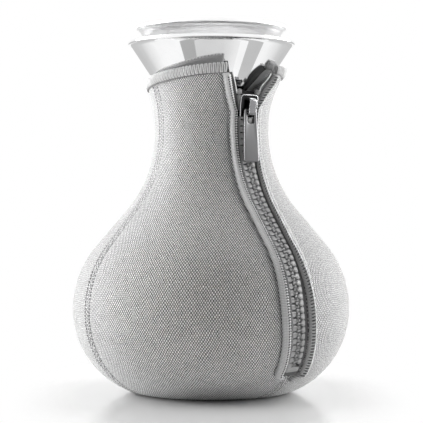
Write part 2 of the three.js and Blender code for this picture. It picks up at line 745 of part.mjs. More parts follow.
const WEAVE = ["#a9abb0", 0.95, 0];
const EDGING = ["#c4c6ca", 0.9, 0];
const TOOTH_PLASTIC = ["#b4b7bb", 0.45, 0];
const ZINC = ["#8d9095", 0.25, 1];
const POLISHED = ["#d5d7da", 0.08, 1];
const SILICONE = ["#2c2d2f", 0.7, 0];
const GLASS = ["#dbe7e6", 0.05, 0];
const PLASTIC = ["#26272a", 0.5, 0];

const part = new THREE.Group();
part.name = "tea_maker";

const jacket = new THREE.Group();
jacket.rotation.z = ZIP_AZIMUTH;
part.add(jacket);
const [frontSeam, rightSeam, backSeam] = SEAMS;
const [left, right] = sides;
add(jacket, "jacket_front", panel(8, fixedRows, seamEdge(frontSeam, 1), zipEdge(left)), WEAVE);
add(jacket, "jacket_right", panel(8, fixedRows, zipEdge(right), seamEdge(rightSeam, -1)), WEAVE);
add(jacket, "jacket_back", panel(7, plainRows, seamEdge(rightSeam, 1), seamEdge(backSeam, -1)), WEAVE);
const aroundTo = frontSeam + 2 * PI;
add(jacket, "jacket_left", panel(7, plainRows, seamEdge(backSeam, 1), seamEdge(aroundTo, -1)), WEAVE);
add(jacket, "jacket_base", jacketBase(), WEAVE);
add(jacket, "hem_band", hemBand(), EDGING);
for (const side of sides) {
  add(jacket, `zip_welt_${side.name}`, welt(side), EDGING);
  add(jacket, `zip_tape_${side.name}`, tape(side), EDGING);
  add(jacket, `zip_teeth_${side.name}`, teeth(side), TOOTH_PLASTIC);
  add(jacket, `zip_top_stop_${side.name}`, topStop(side), TOOTH_PLASTIC);
}
add(jacket, "zip_bottom_stop", bottomStop(), TOOTH_PLASTIC);

// The slider's carriage stands on the chain, x across the zip, y up along it, z out of the jacket
const carriage = new THREE.Group();
const rise = (sliderRun - waistRun) / NECK_ARC;
carriage.position.set(...onJacket(sliderRun, 0, CHAIN_LEVEL));
const outward = axis(cos(rise), 0, -sin(rise));
const upward = axis(sin(rise), 0, cos(rise));
carriage.quaternion.setFromRotationMatrix(new THREE.Matrix4().makeBasis(axis(0, 1, 0), upward, outward));
add(carriage, "zip_slider", slider(), ZINC);
const swing = new THREE.Group();
swing.position.set(0, ROD_PLACE, rodLevel);
swing.rotation.x = -PULL_HANG;
add(swing, "zip_pull", pull(), ZINC);
carriage.add(swing);
jacket.add(carriage);

add(part, "glass_flask", flask(), GLASS);
add(part, "pouring_collar", collar(), POLISHED);
add(part, "collar_seal", collarSeal(), SILICONE);
add(part, "strainer_rim", strainerRim(), POLISHED);
add(part, "strainer_basket", basket(), POLISHED);
add(part, "strainer_base", basketBase(), POLISHED);
add(part, "lid_cup", lidCup(), POLISHED);
add(part, "lid_plug", lidPlug(), PLASTIC);
add(part, "lid_seal", lidSeal(), SILICONE);
add(part, "lid_screw", lidScrew(), ZINC);

export default part;
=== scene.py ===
"""Looks of the tea maker: woven zip jacket, moulded zip, steel collar and lid, strainer, glass flask.

The layout repeats the driving dimensions of the CAD part, in millimetres. Meshes are written in metres.
"""
import math
import random

import bmesh
import bpy
import numpy as np
from mathutils import Matrix, Vector

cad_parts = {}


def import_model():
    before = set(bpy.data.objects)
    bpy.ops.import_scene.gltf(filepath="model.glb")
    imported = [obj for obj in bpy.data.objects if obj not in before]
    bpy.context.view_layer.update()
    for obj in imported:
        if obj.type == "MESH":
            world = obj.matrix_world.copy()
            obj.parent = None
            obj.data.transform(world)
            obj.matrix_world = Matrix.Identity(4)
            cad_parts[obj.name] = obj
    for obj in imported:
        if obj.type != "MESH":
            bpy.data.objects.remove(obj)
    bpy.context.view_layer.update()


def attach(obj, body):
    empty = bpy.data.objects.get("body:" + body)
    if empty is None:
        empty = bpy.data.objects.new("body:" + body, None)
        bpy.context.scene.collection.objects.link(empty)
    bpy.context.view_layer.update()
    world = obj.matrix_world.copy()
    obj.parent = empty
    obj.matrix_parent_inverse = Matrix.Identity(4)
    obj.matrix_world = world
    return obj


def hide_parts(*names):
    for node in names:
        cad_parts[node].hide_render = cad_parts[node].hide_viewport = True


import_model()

# ---- Sizes, in millimetres and radians

MM = 0.001
PI = math.pi
sin, cos, sqrt, radians = math.sin, math.cos, math.sqrt, math.radians
GAP = 0.3  # between fitted pieces
TINY = 1e-6

# Jacket outline, outside, from the base up
BODY_RADIUS, LOWER_ARC, BASE_ANGLE = 80, 50.5, radians(73)
UPPER_ARC, SHOULDER_ANGLE = 57, radians(40)
NECK_RADIUS, NECK_ARC, JACKET_THICKNESS = 32.85, 71.6, 3
HEM_RISE, HEM_TILT, HEM_TILT_AZIMUTH = 31.4, 4.3, radians(11.5)
HEM_BAND, SEAM_GAP = 4.8, 0.3
SEAMS = {"left": radians(-95), "right": radians(92), "back": radians(180)}  # from the zip

# Zip
ZIP_AZIMUTH, ZIP_END, SLOT_HALF, SLOT_ROUND = radians(-55), 27, 6.3, 4
TAPE_LAP, WELT_WIDTH = 2, 5.2
TOOTH_PITCH, TOOTH_REACH, TOOTH_HEAD, TOOTH_HEIGHT = 3.7, 4.3, 1, 2.8
TOOTH_TAPER, CHAIN_LEVEL, STOP_LENGTH = 0.3, -0.3, 3.4
ROWS, LEFT, RIGHT = 0, -1, 1
# Edges of the cloth, and rows of teeth, above the slider: how far aside at the hem, power of the curve
SPLIT = {LEFT: (10.6, 1.05), ROWS: (8.7, 1.05), RIGHT: (11.2, 1.7)}
SIDE_NAMES = {LEFT: "left", RIGHT: "right"}

# Slider and pull
SLIDER_DROP, SLIDER_LENGTH, PLATE, FLANGE, TAPE_SLOT = 24.35, 13, 1.1, 0.7, 1.3
WEDGE_LENGTH, WEDGE_WIDTH, WEDGE_INSET = 3.6, 1.4, 0.6
BRIDGE_LENGTH, BRIDGE_WIDTH, BRIDGE_BAR, BRIDGE_SPACE = 10, 4.4, 1.5, 2.6
PULL_LENGTH, PULL_TOP, PULL_WIDTH, PULL_THICKNESS = 29, 8.2, 10.4, 1.7
PULL_EYE, PULL_ROD, PULL_HANG, ROD_PLACE = 7.5, 1.4, radians(12.5), -2.1

# Flask, collar, strainer and lid
FLASK_GAP, GLASS_WALL, MOUTH_RISE = 1.1, 2.4, 16
SEAL_WALL, STEEL, THROAT_DROP, CONE_RISE, RIM_RISE = 1.9, 0.9, 4, 14.5, 20.2
HEM_CLEARANCE, ROLL, SEAL_LIP, SEAL_INSET, SEAL_STEP = 1.2, 1.15, 1.5, 1, 2
STRAINER_LENGTH, STRAINER_WALL, STRAINER_SKIRT, STRAINER_FLANGE = 92, 0.7, 8, 5
SLOT_COLUMNS, SLOT_ROWS, SLOT_HEIGHT, BASE_THICKNESS = 14, 3, 18, 1.2
LID_RISE, LID_CHANNEL, LID_DEPTH, PLUG_DEPTH, PLUG_FLANGE = 9, 9.1, 29.3, 15, 2.2
PLUG_GROOVE, RING_HEIGHT, PLUG_CHAMFER = 1.6, 4, 1
SCREW_HEAD, SCREW_SHANK, SCREW_LENGTH, SCREW_CROWN = 4.2, 2, 11, 1.9

# Cloth; an ending is where something has faded out, a beginning where it starts to grow, each with its length
WARP_PITCH, WEFT_PITCH, WEFT_CLOSER, WEFT_CLIMB = 0.735, 1.09, 0.13, (110, 75)
SEAM_STITCH, SEAM_ROW, THREAD = 1.9, 2.5, 0.27
FLARE, FLARE_LENGTH = 3.4, 26  # how far the mouth stands off the steel beside the zip, and from how far down
FLARE_LEFT, FLARE_RIGHT = (80, 55), (75, 50)  # endings in degrees from the zip
TUCK, TUCK_DROP, TUCK_TURN = 0.7, (11, 10), (48, 20)  # of the right corner: share, endings down and round
SWAY, SWAY_TOP, SWAY_FOOT = 4, (75, 45), (6, 30)
PANEL_FOOT, WELT_FOOT = -0.2, 2.6  # how far the panels and welts reach round the foot of the slot

lower_length = LOWER_ARC * BASE_ANGLE
body_length = lower_length + UPPER_ARC * SHOULDER_ANGLE
body_height = LOWER_ARC * sin(BASE_ANGLE)
both_arcs = UPPER_ARC + NECK_ARC
shoulder_width = BODY_RADIUS - UPPER_ARC + both_arcs * cos(SHOULDER_ANGLE) - NECK_ARC - NECK_RADIUS
shoulder_length = shoulder_width / sin(SHOULDER_ANGLE)
shoulder_end = body_length + shoulder_length
waist_run = shoulder_end + NECK_ARC * SHOULDER_ANGLE
waist_height = body_height + both_arcs * sin(SHOULDER_ANGLE) + shoulder_length * cos(SHOULDER_ANGLE)
neck_centre = NECK_RADIUS + NECK_ARC


def smooth_step(x):
    x = min(1, max(0, x))
    return x * x * (3 - 2 * x)


def fades(value, ending):
    """1 that falls to 0 where a value reaches the end."""
    end, length = ending
    return smooth_step((end - value) / length)


def grows(value, beginning):
    """0 that rises to 1 once a value is past the start."""
    start, length = beginning
    return smooth_step((value - start) / length)


def dip(pair, distance):
    """Depth of a soft hollow, given by its full depth and its width."""
    depth, width = pair
    return depth * math.exp(-(distance / width) ** 2)


def spaced(start, end, step):
    count = max(1, round((end - start) / step))
    return [start + (end - start) * i / count for i in range(count + 1)]


# ---- Places on the jacket

def outline(run, out=0.0):
    """Radius and height of the jacket's face at a run along it, moved out by a distance."""
    if run < lower_length:
        turn, arc = run / LOWER_ARC - BASE_ANGLE, LOWER_ARC + out
        return BODY_RADIUS - LOWER_ARC + arc * cos(turn), body_height + arc * sin(turn)
    if run < shoulder_end:
        turn, arc = min((run - lower_length) / UPPER_ARC, SHOULDER_ANGLE), UPPER_ARC + out
        along = max(0, run - body_length)
        radius = BODY_RADIUS - UPPER_ARC + arc * cos(turn) - along * sin(turn)
        return radius, body_height + arc * sin(turn) + along * cos(turn)
    lean, arc = (run - waist_run) / NECK_ARC, NECK_ARC - out
    return neck_centre - arc * cos(lean), waist_height + arc * sin(lean)


def neck_run(rise):
    return waist_run + NECK_ARC * math.asin(rise / NECK_ARC)


def hem_run(azimuth):
    return neck_run(HEM_RISE + HEM_TILT * cos(azimuth - HEM_TILT_AZIMUTH))


def neck_inside(rise, depth):
    return neck_centre - sqrt((NECK_ARC + depth) ** 2 - rise ** 2)


def flare(run, azimuth):
    """How far the loose mouth stands off, most at the left corner; the right corner is tucked in."""
    drop = hem_run(azimuth) - run
    rise = smooth_step(1 - drop / FLARE_LENGTH)
    turn = math.degrees(math.remainder(azimuth, 2 * PI))
    tucked = TUCK * fades(drop, TUCK_DROP) * fades(turn, TUCK_TURN)
    left = fades(-turn, FLARE_LEFT) if turn < 0 else 0
    right = fades(turn, FLARE_RIGHT) * (1 - tucked) if turn > 0 else 0
    return FLARE * rise * max(left, right)


def on_jacket(run, azimuth, out=0.0):
    """Place on the jacket, with the azimuth measured from the zip."""
    radius, height = outline(run, out)
    radius += flare(run, azimuth)
    return Vector((radius * cos(azimuth + ZIP_AZIMUTH), radius * sin(azimuth + ZIP_AZIMUTH), height))


slider_run = hem_run(0) - SLIDER_DROP
split_run = slider_run - (SLIDER_LENGTH / 2 - WEDGE_LENGTH)
split_length = hem_run(0) - split_run
teeth_foot = ZIP_END + SLOT_ROUND
teeth_top = slider_run + SLIDER_LENGTH / 2
strip_drop = HEM_BAND + GAP  # from the hem's edge to the ends of panels, welts and tapes


def parted(side, run):
    """How far an edge of the cloth, or a row of teeth, stands from the zip's middle line."""
    split, curve = SPLIT[side]
    return split * (max(0, run - split_run) / split_length) ** curve


def beside_edge(side, run, distance):
    """Across the jacket to a place at a distance square to the slanting edge."""
    split, curve = SPLIT[side]
    share = max(0, run - split_run) / split_length
    slope = split * curve / split_length * share ** (curve - 1) if share > 0 else 0
    return parted(side, run) + distance * sqrt(1 + slope ** 2)


def sway(run):
    """Low down the zip wanders to the right of its middle line."""
    return SWAY * fades(run, SWAY_TOP) * fades(-run, SWAY_FOOT)


def zip_azimuth(run, across=0.0):
    return (across + sway(run)) / outline(run)[0]


def strip_azimuth(side, run, distance):
    return zip_azimuth(run, side * beside_edge(side, run, distance))


def slot_half(run, margin=0.0, foot=0.0):
    """Half width of the slot, grown by a margin at its sides and another at its foot."""
    above = teeth_foot - run
    share = sqrt(max(0, 1 - (above / (SLOT_ROUND + foot)) ** 2)) if above > 0 else 1
    return max(SEAM_GAP / 2, (SLOT_HALF + margin) * share)


# ---- Meshes

class Shape:
    """Points, faces and texture places of one mesh, in millimetres; marks choose the faces' materials."""

    def __init__(self):
        self.points, self.faces, self.places, self.marks = [], [], [], []

    def add(self, points, faces, places=None, mark=0):
        first = len(self.points)
        self.points.extend(Vector(p) for p in points)
        self.places.extend(places if places else [(0.0, 0.0)] * len(points))
        self.faces.extend(tuple(first + k for k in face) for face in faces)
        self.marks.extend([mark] * len(faces))
        return self

    def moved(self, matrix):
        self.points = [matrix @ p for p in self.points]
        return self


def flat(rows):
    return [item for row in rows for item in row]


def circle(radius, sides, z=0.0):
    turns = [2 * PI * k / sides for k in range(sides)]
    return [(radius * cos(turn), radius * sin(turn), z) for turn in turns]


def grid(rows, count, ring=False):
    """Faces between rows of points, each row closed round; in a ring the last row joins the first."""
    faces = []
    for i in range(rows if ring else rows - 1):
        low, high = i * count, (i + 1) % rows * count
        for j in range(count):
            n = (j + 1) % count
            faces.append((low + j, low + n, high + n, high + j))
    return faces


def loft(shape, loops, places=None, mark=0, ring=False):
    """Skin over closed loops of equal length; the ends are closed unless the loops make a ring."""
    rows, count = len(loops), len(loops[0])
    faces = grid(rows, count, ring)
    if not ring:
        faces.append(tuple(reversed(range(count))))
        faces.append(tuple((rows - 1) * count + j for j in range(count)))
    return shape.add(flat(loops), faces, flat(places) if places else None, mark)


def turned(profile, sides=128):
    """Piece turned about Z from a half section; a profile that meets the axis is closed there."""
    on_axis = [k for k, (radius, _) in enumerate(profile) if radius < TINY]
    middle = [p for p in profile if p[0] >= TINY]
    count = len(middle)
    points = flat(zip(*(circle(radius, sides, z) for radius, z in middle)))
    pairs = [(s * count, (s + 1) % sides * count) for s in range(sides)]
    faces = []
    for a, b in pairs:
        for j in range(count - 1 if on_axis else count):
            k = (j + 1) % count
            faces.append((a + j, b + j, b + k, a + k))
    for k in on_axis:
        tip, edge = len(points), 0 if k == 0 else count - 1
        points.append((0, 0, profile[k][1]))
        faces += [(tip, b + edge, a + edge) if k == 0 else (tip, a + edge, b + edge) for a, b in pairs]
    return Shape().add(points, faces)


def turned_sheet(outer, inner, sides=256):
    """Turned sheet whose inner face has the second material."""
    shape = turned(outer + inner, sides)
    count = len(outer) + len(inner)
    shape.marks = [int(k % count >= len(outer)) for k in range(len(shape.faces))]
    return shape


def tube(shape, path, radius, sides=6, taper=1.0):
    """Round thread along a path, with closed ends."""
    loops, normal = [], None
    last = len(path) - 1
    for i, point in enumerate(path):
        along = (path[min(i + 1, last)] - path[max(i - 1, 0)]).normalized()
        if normal is None:
            normal = along.orthogonal().normalized()
        normal = (normal - along * normal.dot(along)).normalized()
        across = along.cross(normal)
        wide = radius * (taper if i in (0, last) else 1)
        loops.append([point + wide * (x * normal + y * across) for x, y, _ in circle(1, sides)])
    return loft(shape, loops)


def curve(start, corner, end, steps):
    """Points of a curve from start to end that is drawn towards a corner."""
    shares = [k / steps for k in range(steps + 1)]
    return [(1 - t) ** 2 * start + 2 * t * (1 - t) * corner + t ** 2 * end for t in shares]


def box(left, low, right, high):
    return [(left, low), (right, low), (right, high), (left, high)]


def fillet(corners, radii, steps=5):
    """Polygon with rounded corners, by one radius or a list; a radius of 0 keeps a corner sharp."""
    points = []
    for i, corner in enumerate(corners):
        here = Vector(corner)
        before, after = Vector(corners[i - 1]) - here, Vector(corners[(i + 1) % len(corners)]) - here
        radius = radii[i] if isinstance(radii, list) else radii
        if radius <= 0:
            points.append(here)
            continue
        to_before, to_after = before.normalized(), after.normalized()
        half = to_before.angle(to_after) / 2
        cut = min(radius / math.tan(half), 0.48 * before.length, 0.48 * after.length)
        points += curve(here + to_before * cut, here, here + to_after * cut, steps)
    return points


def inset(loop, distance):
    """Anticlockwise loop moved inwards by a distance."""
    moved = []
    for i, point in enumerate(loop):
        steps = (point - loop[i - 1], loop[(i + 1) % len(loop)] - point)
        a, b = (step.normalized() if step.length > 1e-7 else None for step in steps)
        a, b = a or b, b or a
        normal = Vector((-(a.y + b.y), a.x + b.x))
        scale = max(0.35, 1 + a.dot(b)) if normal.length > TINY else 1
        moved.append(point + normal * distance / scale)
    return moved


def rounded(low, high, edge, steps):
    """Insets and levels round the lower and then the upper edge of a plate."""
    turns = [PI / 2 * k / steps for k in range(steps + 1)]
    rings = [(edge * (1 - sin(turn)), low + edge * (1 - cos(turn))) for turn in turns]
    return rings + [(edge * (1 - cos(turn)), high - edge * (1 - sin(turn))) for turn in turns]


def stacked(loop, rings):
    return [[Vector((p.x, p.y, level)) for p in inset(loop, distance)] for distance, level in rings]


def plate(shape, loop, low, high, edge, steps=3, crown=0.0, mark=0, cap=None):
    """Flat plate with rounded edges and, above, a slight crown."""
    rings = rounded(low, high, edge, steps)
    if crown:
        rings += [(edge + crown, high + crown * 0.3), (edge + 2 * crown, high + crown * 0.45)]
    loft(shape, stacked(loop, rings), None, mark)
    if cap is not None:
        shape.marks[-1] = cap
    return shape


def axes(x, y, z, origin):
    """Matrix of the frame with these axes at a place."""
    return Matrix([*zip(x, y, z, origin), (0, 0, 0, 1)])


def placed(name, data):
    """Object in the scene from a mesh, a lamp or a camera."""
    thing = bpy.data.objects.new(name, data)
    bpy.context.collection.objects.link(thing)
    return thing


def make(name, shape, materials, body, sharp=50, has_node=True):
    mesh = bpy.data.meshes.new(name)
    mesh.from_pydata([p * MM for p in shape.points], [], shape.faces)
    layer = mesh.uv_layers.new(name="cloth")
    corners = np.array(shape.places, dtype=np.float32)[flat(shape.faces)]
    layer.data.foreach_set("uv", corners.ravel())
    for material in materials:
        mesh.materials.append(material)
    mesh.polygons.foreach_set("material_index", shape.marks)
    mesh.validate()
    mesh.shade_smooth()
    mesh.set_sharp_from_angle(angle=radians(sharp))
    piece = placed(name, mesh)
    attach(piece, body)
    if has_node:
        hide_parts(name)
    return piece


def sewn(name, shape, thread):
    """Detail of the jacket's sewing, which has no CAD node."""
    make(name, shape, [thread], "vessel", has_node=False)


# ---- Materials

class Nodes:
    """Short way of writing a material's node tree."""

    def __init__(self, name):
        self.material = bpy.data.materials.new(name)
        self.material.use_nodes = True
        self.tree = self.material.node_tree
        self.shader = self.tree.nodes["Principled BSDF"]

    def node(self, kind, **settings):
        node = self.tree.nodes.new(f"ShaderNode{kind}")
        for key, value in settings.items():
            setattr(node, key, value)
        return node

    def link(self, source, target):
        """Links an output, or a node's first output, or sets a constant."""
        if hasattr(source, "outputs"):
            source = source.outputs[0]
        if hasattr(source, "is_output"):
            self.tree.links.new(source, target)
        else:
            target.default_value = source

    def fed(self, node, **inputs):
        for key, value in inputs.items():
            self.link(value, node.inputs[key.replace("_", " ")])
        return node

    def math(self, operation, *values):
        node = self.node("Math", operation=operation)
        for socket, value in zip(node.inputs, values):
            self.link(value, socket)
        return node.outputs[0]

    def times(self, a, b):
        return self.math("MULTIPLY", a, b)

    def plus(self, a, b):
        return self.math("ADD", a, b)

    def wave(self, value, factor):
        return self.math("SINE", self.times(value, factor))

    def weighed(self, first, *others):
        """Sum of values, each given with its weight."""
        total = self.times(*first)
        for other in others:
            total = self.plus(total, self.times(*other))
        return total

    def mix(self, share, a, b, blend="MIX"):
        node = self.node("Mix", data_type="RGBA", blend_type=blend)
        self.link(share, node.inputs["Factor"])
        for socket, value in ((node.inputs[6], a), (node.inputs[7], b)):
            self.link((value, value, value, 1) if isinstance(value, (int, float)) else value, socket)
        return node.outputs[2]

    def mottle(self, noise, a, b):
        """Colour between two, chosen by the middle range of a noise."""
        return self.mix(self.ramp(noise, 0.3, 0.7, 0, 1), a, b)

    def noise(self, place, scale=1.0, detail=3.0, roughness=0.6):
        node = self.node("TexNoise")
        return self.fed(node, Vector=place, Scale=scale, Detail=detail, Roughness=roughness).outputs["Fac"]

    def place(self, x, y, z=0.0):
        return self.fed(self.node("CombineXYZ"), X=x, Y=y, Z=z).outputs[0]

    def scaled(self, across, along, scale):
        return self.place(self.times(across, scale), self.times(along, scale))

    def parts(self, place):
        return self.fed(self.node("SeparateXYZ"), Vector=place).outputs

    def cloth(self):
        """The two texture coordinates of the cloth."""
        return self.parts(self.node("UVMap", uv_map="cloth"))[:2]

    def solid(self):
        return self.node("TexCoord").outputs["Object"]

    def ramp(self, value, low, high, out_low, out_high, kind="LINEAR"):
        node = self.node("MapRange", interpolation_type=kind)
        for socket, number in zip(node.inputs, (value, low, high, out_low, out_high)):
            self.link(number, socket)
        return node.outputs[0]

    def bump(self, height, strength, distance):
        return self.fed(self.node("Bump"), Strength=strength, Distance=distance, Height=height)

    def blend_shaders(self, share, a, b):
        """Makes the material's surface a mix of two shaders."""
        mixed = self.node("MixShader")
        for socket, value in zip(mixed.inputs, (share, a, b)):
            self.link(value, socket)
        self.link(mixed, self.tree.nodes["Material Output"].inputs["Surface"])

    def set(self, **values):
        self.fed(self.shader, **values)
        return self.material


CLOTH_SHEEN = {"Sheen_Roughness": 0.45, "Specular_IOR_Level": 0.2}


def weave(name, light, dark):
    """Plain weave of pale weft and darker melange warp; the cloth's coordinates count the yarns."""
    n = Nodes(name)
    drift_scale, drift, slub, next_yarn, fibre_scale = 0.09, 2.4, 0.16, 3.7, 2.5
    across, along = n.cloth()
    slow = n.scaled(across, along, drift_scale)
    elsewhere = n.node("VectorMath", operation="ADD")
    n.link(slow, elsewhere.inputs[0])
    n.link((31, 17, 5), elsewhere.inputs[1])
    across = n.plus(across, n.times(n.noise(slow), drift))
    along = n.plus(along, n.times(n.noise(elsewhere), drift))
    warp, weft = n.math("FLOOR", across), n.math("FLOOR", along)
    over = n.math("FLOORED_MODULO", n.plus(warp, weft), 2.0)
    hump_warp, hump_weft = (n.wave(n.math("FRACT", yarn), PI) for yarn in (across, along))
    level_weft = n.times(n.math("SQRT", hump_weft), n.ramp(hump_warp, 0, 1, 0.5, 1))
    level_warp = n.times(n.math("SQRT", hump_warp), n.ramp(hump_weft, 0, 1, 0.5, 1))
    level = n.weighed((level_weft, n.math("SUBTRACT", 1.0, over)), (level_warp, over))
    weft_tone = n.noise(n.place(n.times(across, slub), n.times(weft, next_yarn)))
    warp_tone = n.noise(n.place(n.times(warp, next_yarn), n.times(along, slub), 9.0))
    fibre = n.noise(n.scaled(across, along, fibre_scale), 1.0, 2.0)
    weft_colour = n.mottle(weft_tone, light * 0.72, min(0.92, light * 1.1))
    warp_colour = n.mottle(warp_tone, dark * 0.5, dark * 1.6)
    # Painted shade: the colour is darkened where the yarns lie low, in the crevices between them; the fibre
    # noise adds a random tone of the yarn.
    depth = n.times(n.ramp(level, 0, 1, 0.23, 1), n.ramp(fibre, 0.25, 0.75, 0.84, 1.1))
    return n.set(
        Base_Color=n.mix(1, n.mix(over, weft_colour, warp_colour), depth, "MULTIPLY"),
        Roughness=n.ramp(fibre, 0.2, 0.8, 0.82, 0.98),
        Normal=n.bump(n.plus(level, n.times(fibre, 0.25)), 0.55, 0.00022),
        Sheen_Weight=0.35, **CLOTH_SHEEN)


def edging(name, tone, rib):
    """Fine ribbed cloth of welts, hem and tapes; the cloth's coordinates are millimetres across and along."""
    n = Nodes(name)
    across, along = n.cloth()
    ribs, cross = n.wave(along, 2 * PI / rib), n.wave(across, 2 * PI / (rib * 0.9))
    fibre = n.noise(n.scaled(across, along, 2.2))
    cloud = n.noise(n.scaled(across, along, 0.2), 1.0, 2.0, 0.5)
    level = n.times(n.ramp(ribs, -1, 1, 0, 1), n.ramp(cross, -1, 1, 0.55, 1))
    # Painted shade: the rib height darkens the colour in the grooves between ribs; the fibre and cloud noise
    # add the cloth's own uneven tone.
    value = n.weighed((level, 0.4), (fibre, 0.45), (cloud, 0.15))
    return n.set(
        Base_Color=n.mix(n.ramp(value, 0.2, 0.75, 0, 1), tone * 0.55, min(0.9, tone * 1.25)),
        Roughness=n.ramp(fibre, 0.2, 0.8, 0.8, 0.97),
        Normal=n.bump(n.plus(level, n.times(fibre, 0.4)), 0.5, 0.00015),
        Sheen_Weight=0.3, **CLOTH_SHEEN)


def sewing_thread(name, tone):
    n = Nodes(name)
    fibre, cloud = n.noise(n.solid(), 2600.0), n.noise(n.solid(), 240.0, 2.0, 0.5)
    return n.set(
        Base_Color=n.mottle(n.weighed((fibre, 0.6), (cloud, 0.4)), tone * 0.7, min(0.92, tone * 1.25)),
        Roughness=n.ramp(fibre, 0.2, 0.8, 0.5, 0.75),
        Normal=n.bump(fibre, 0.4, 0.0001),
        Sheen_Weight=0.25)


def moulded(name, tone, rough):
    """Moulded plastic or silicone with a fine spark-eroded grain."""
    n = Nodes(name)
    fine, cloud = n.noise(n.solid(), 2700.0), n.noise(n.solid(), 90.0, 3.0, 0.5)
    return n.set(
        Base_Color=n.mottle(cloud, tone * 0.9, tone * 1.08),
        Roughness=n.ramp(cloud, 0.25, 0.75, rough - 0.06, rough + 0.08),
        Normal=n.bump(fine, 0.18, 0.00006))


def metal(name, tone, rough, spread, grain, strength):
    """Metal with a faint grain and slightly uneven polish."""
    n = Nodes(name)
    stretched = n.fed(n.node("Mapping"), Vector=n.solid(), Scale=grain)
    lines, cloud = n.noise(stretched, 1.0, 3.0, 0.55), n.noise(n.solid(), 55.0, 3.0, 0.5)
    dull, bright = ((*(min(1, c * factor) for c in tone), 1) for factor in (0.96, 1.03))
    return n.set(
        Base_Color=n.mottle(cloud, dull, bright),
        Roughness=n.ramp(n.weighed((lines, 0.5), (cloud, 0.5)), 0.3, 0.7, rough, rough + spread),
        Normal=n.bump(lines, strength, 0.00002),
        Metallic=1.0)


def clear_glass(name):
    n = Nodes(name)
    cloud = n.noise(n.solid(), 40.0, 2.0, 0.5)
    return n.set(
        Base_Color=(0.93, 0.97, 0.965, 1), Roughness=n.ramp(cloud, 0.3, 0.7, 0.0, 0.03),
        Transmission_Weight=1.0, IOR=1.47)


WEAVE = weave("melange_weave", 0.93, 0.15)
EDGE = edging("edging_cloth", 0.5, 0.85)
HEM_CLOTH = edging("hem_cloth", 0.32, 0.85)
LINING = edging("lining_cloth", 0.72, 1.1)
# Painted shade: the placket's wall beside the zip gets a darker cloth than the welt, for the shade it stands
# in.
SHADED_PLACKET_CLOTH = edging("placket_painted_shade_cloth", 0.36, 0.85)
# Painted shade: the tape's face is near black for the shade it lies in, while its back keeps a pale tone.
SHADED_TAPE = edging("zip_tape_painted_shade_cloth", 0.09, 0.7)
TAPE_BACK = edging("zip_tape_back", 0.7, 0.7)
CORD = sewing_thread("tape_cord", 0.75)
STITCH = sewing_thread("seam_thread", 0.24)
# Near-black thread, painted shade: it stands for the shade in needle holes and in the grooves between wrapped
# threads.
SHADE_THREAD = sewing_thread("needle_hole_shade_thread", 0.04)
PALE_STITCH = sewing_thread("edge_thread", 0.82)
HEM_STITCH = sewing_thread("hem_thread", 0.6)
CREST = sewing_thread("crest_thread", 0.88)
TEETH = moulded("tooth_plastic", 0.31, 0.42)
STOP = moulded("stop_plastic", 0.2, 0.42)
RUBBER = moulded("silicone", 0.05, 0.6)
PLUG = moulded("plug_plastic", 0.045, 0.42)
EVEN, FINE, ROUND, RADIAL = (900, 900, 900), (2600, 2600, 2600), (60, 60, 2600), (2600, 60, 60)  # grains
NICKEL = metal("plated_zinc", (0.26, 0.26, 0.267), 0.16, 0.08, EVEN, 0.1)
# Painted shade and highlight on the slider: its plates are near-black zinc for the dark reflections and shade
# on them, and the upper plate's edges are a bright zinc for the light they catch.
SHADED_NICKEL = metal("painted_shade_zinc", (0.03, 0.03, 0.031), 0.12, 0.06, EVEN, 0.08)
HIGHLIGHT_NICKEL = metal("painted_highlight_zinc", (0.6, 0.6, 0.61), 0.08, 0.05, EVEN, 0.06)
SATIN = metal("satin_zinc", (0.112, 0.112, 0.114), 0.3, 0.08, (2500, 2500, 120), 0.25)
# The pull's edges are smoother than its face and painted lighter, a painted highlight where they catch the
# light.
PULL_EDGE_HIGHLIGHT = metal("polished_zinc_edge_painted_highlight", (0.24, 0.24, 0.246), 0.16, 0.06, EVEN, 0.08)
MIRROR = metal("polished_steel", (0.92, 0.922, 0.925), 0.025, 0.03, ROUND, 0.05)
LID_STEEL = metal("lid_steel", (0.97, 0.97, 0.972), 0.27, 0.04, ROUND, 0.1)
BOWL_STEEL = metal("lid_bowl_steel", (0.7, 0.702, 0.705), 0.16, 0.05, RADIAL, 0.1)
BRUSHED = metal("blasted_steel", (0.96, 0.96, 0.963), 0.8, 0.1, FINE, 0.2)
GLASS = clear_glass("flask_glass")


# ---- Jacket

SWELLS = [(0.16, 3, 2.1, 0), (0.12, 5, -1.7, 1), (0.08, 8, 3.3, 2)]  # size, turns round, turns up, start
SWELL_LENGTH, SWELL_FOOT, SWELL_HEM = 60, 20, 25
PUCKER, SEAM_DIP, ROW_DIP = (0.06, 1.6), (0.35, 0.7), (0.15, 0.9)  # depth and width
HEM_DIP, FOOT_DIP, EDGE_DIP = (0.45, 1.6), (0.35, 1.5), (0.3, 2)
WELT_PRESS, WELT_ASIDE, WELT_START = {1: (0.7, (1.1, 0.9)), -1: (1, (0.25, 0.9))}, 0.2, (ZIP_END - 6, 6)
PANEL_ROWS, PANEL_COLUMNS, PANEL_SPREAD = 138, 64, 0.55
HEM_COLUMNS, HEM_ROUND, HEM_CORE, HEM_PITCH, HEM_TAPER, HEM_THIN = 300, 1.2, -1.2, 1.02, 0.06, 0.05
OVERLOCK_SLANT, SLANT_SPREAD, UPRIGHT = 1.0, 0.25, 0.1
OVERLOCK_RADIUS, RADIUS_SPREAD, OVERLOCK_SINK = 0.31, 0.05, 0.12
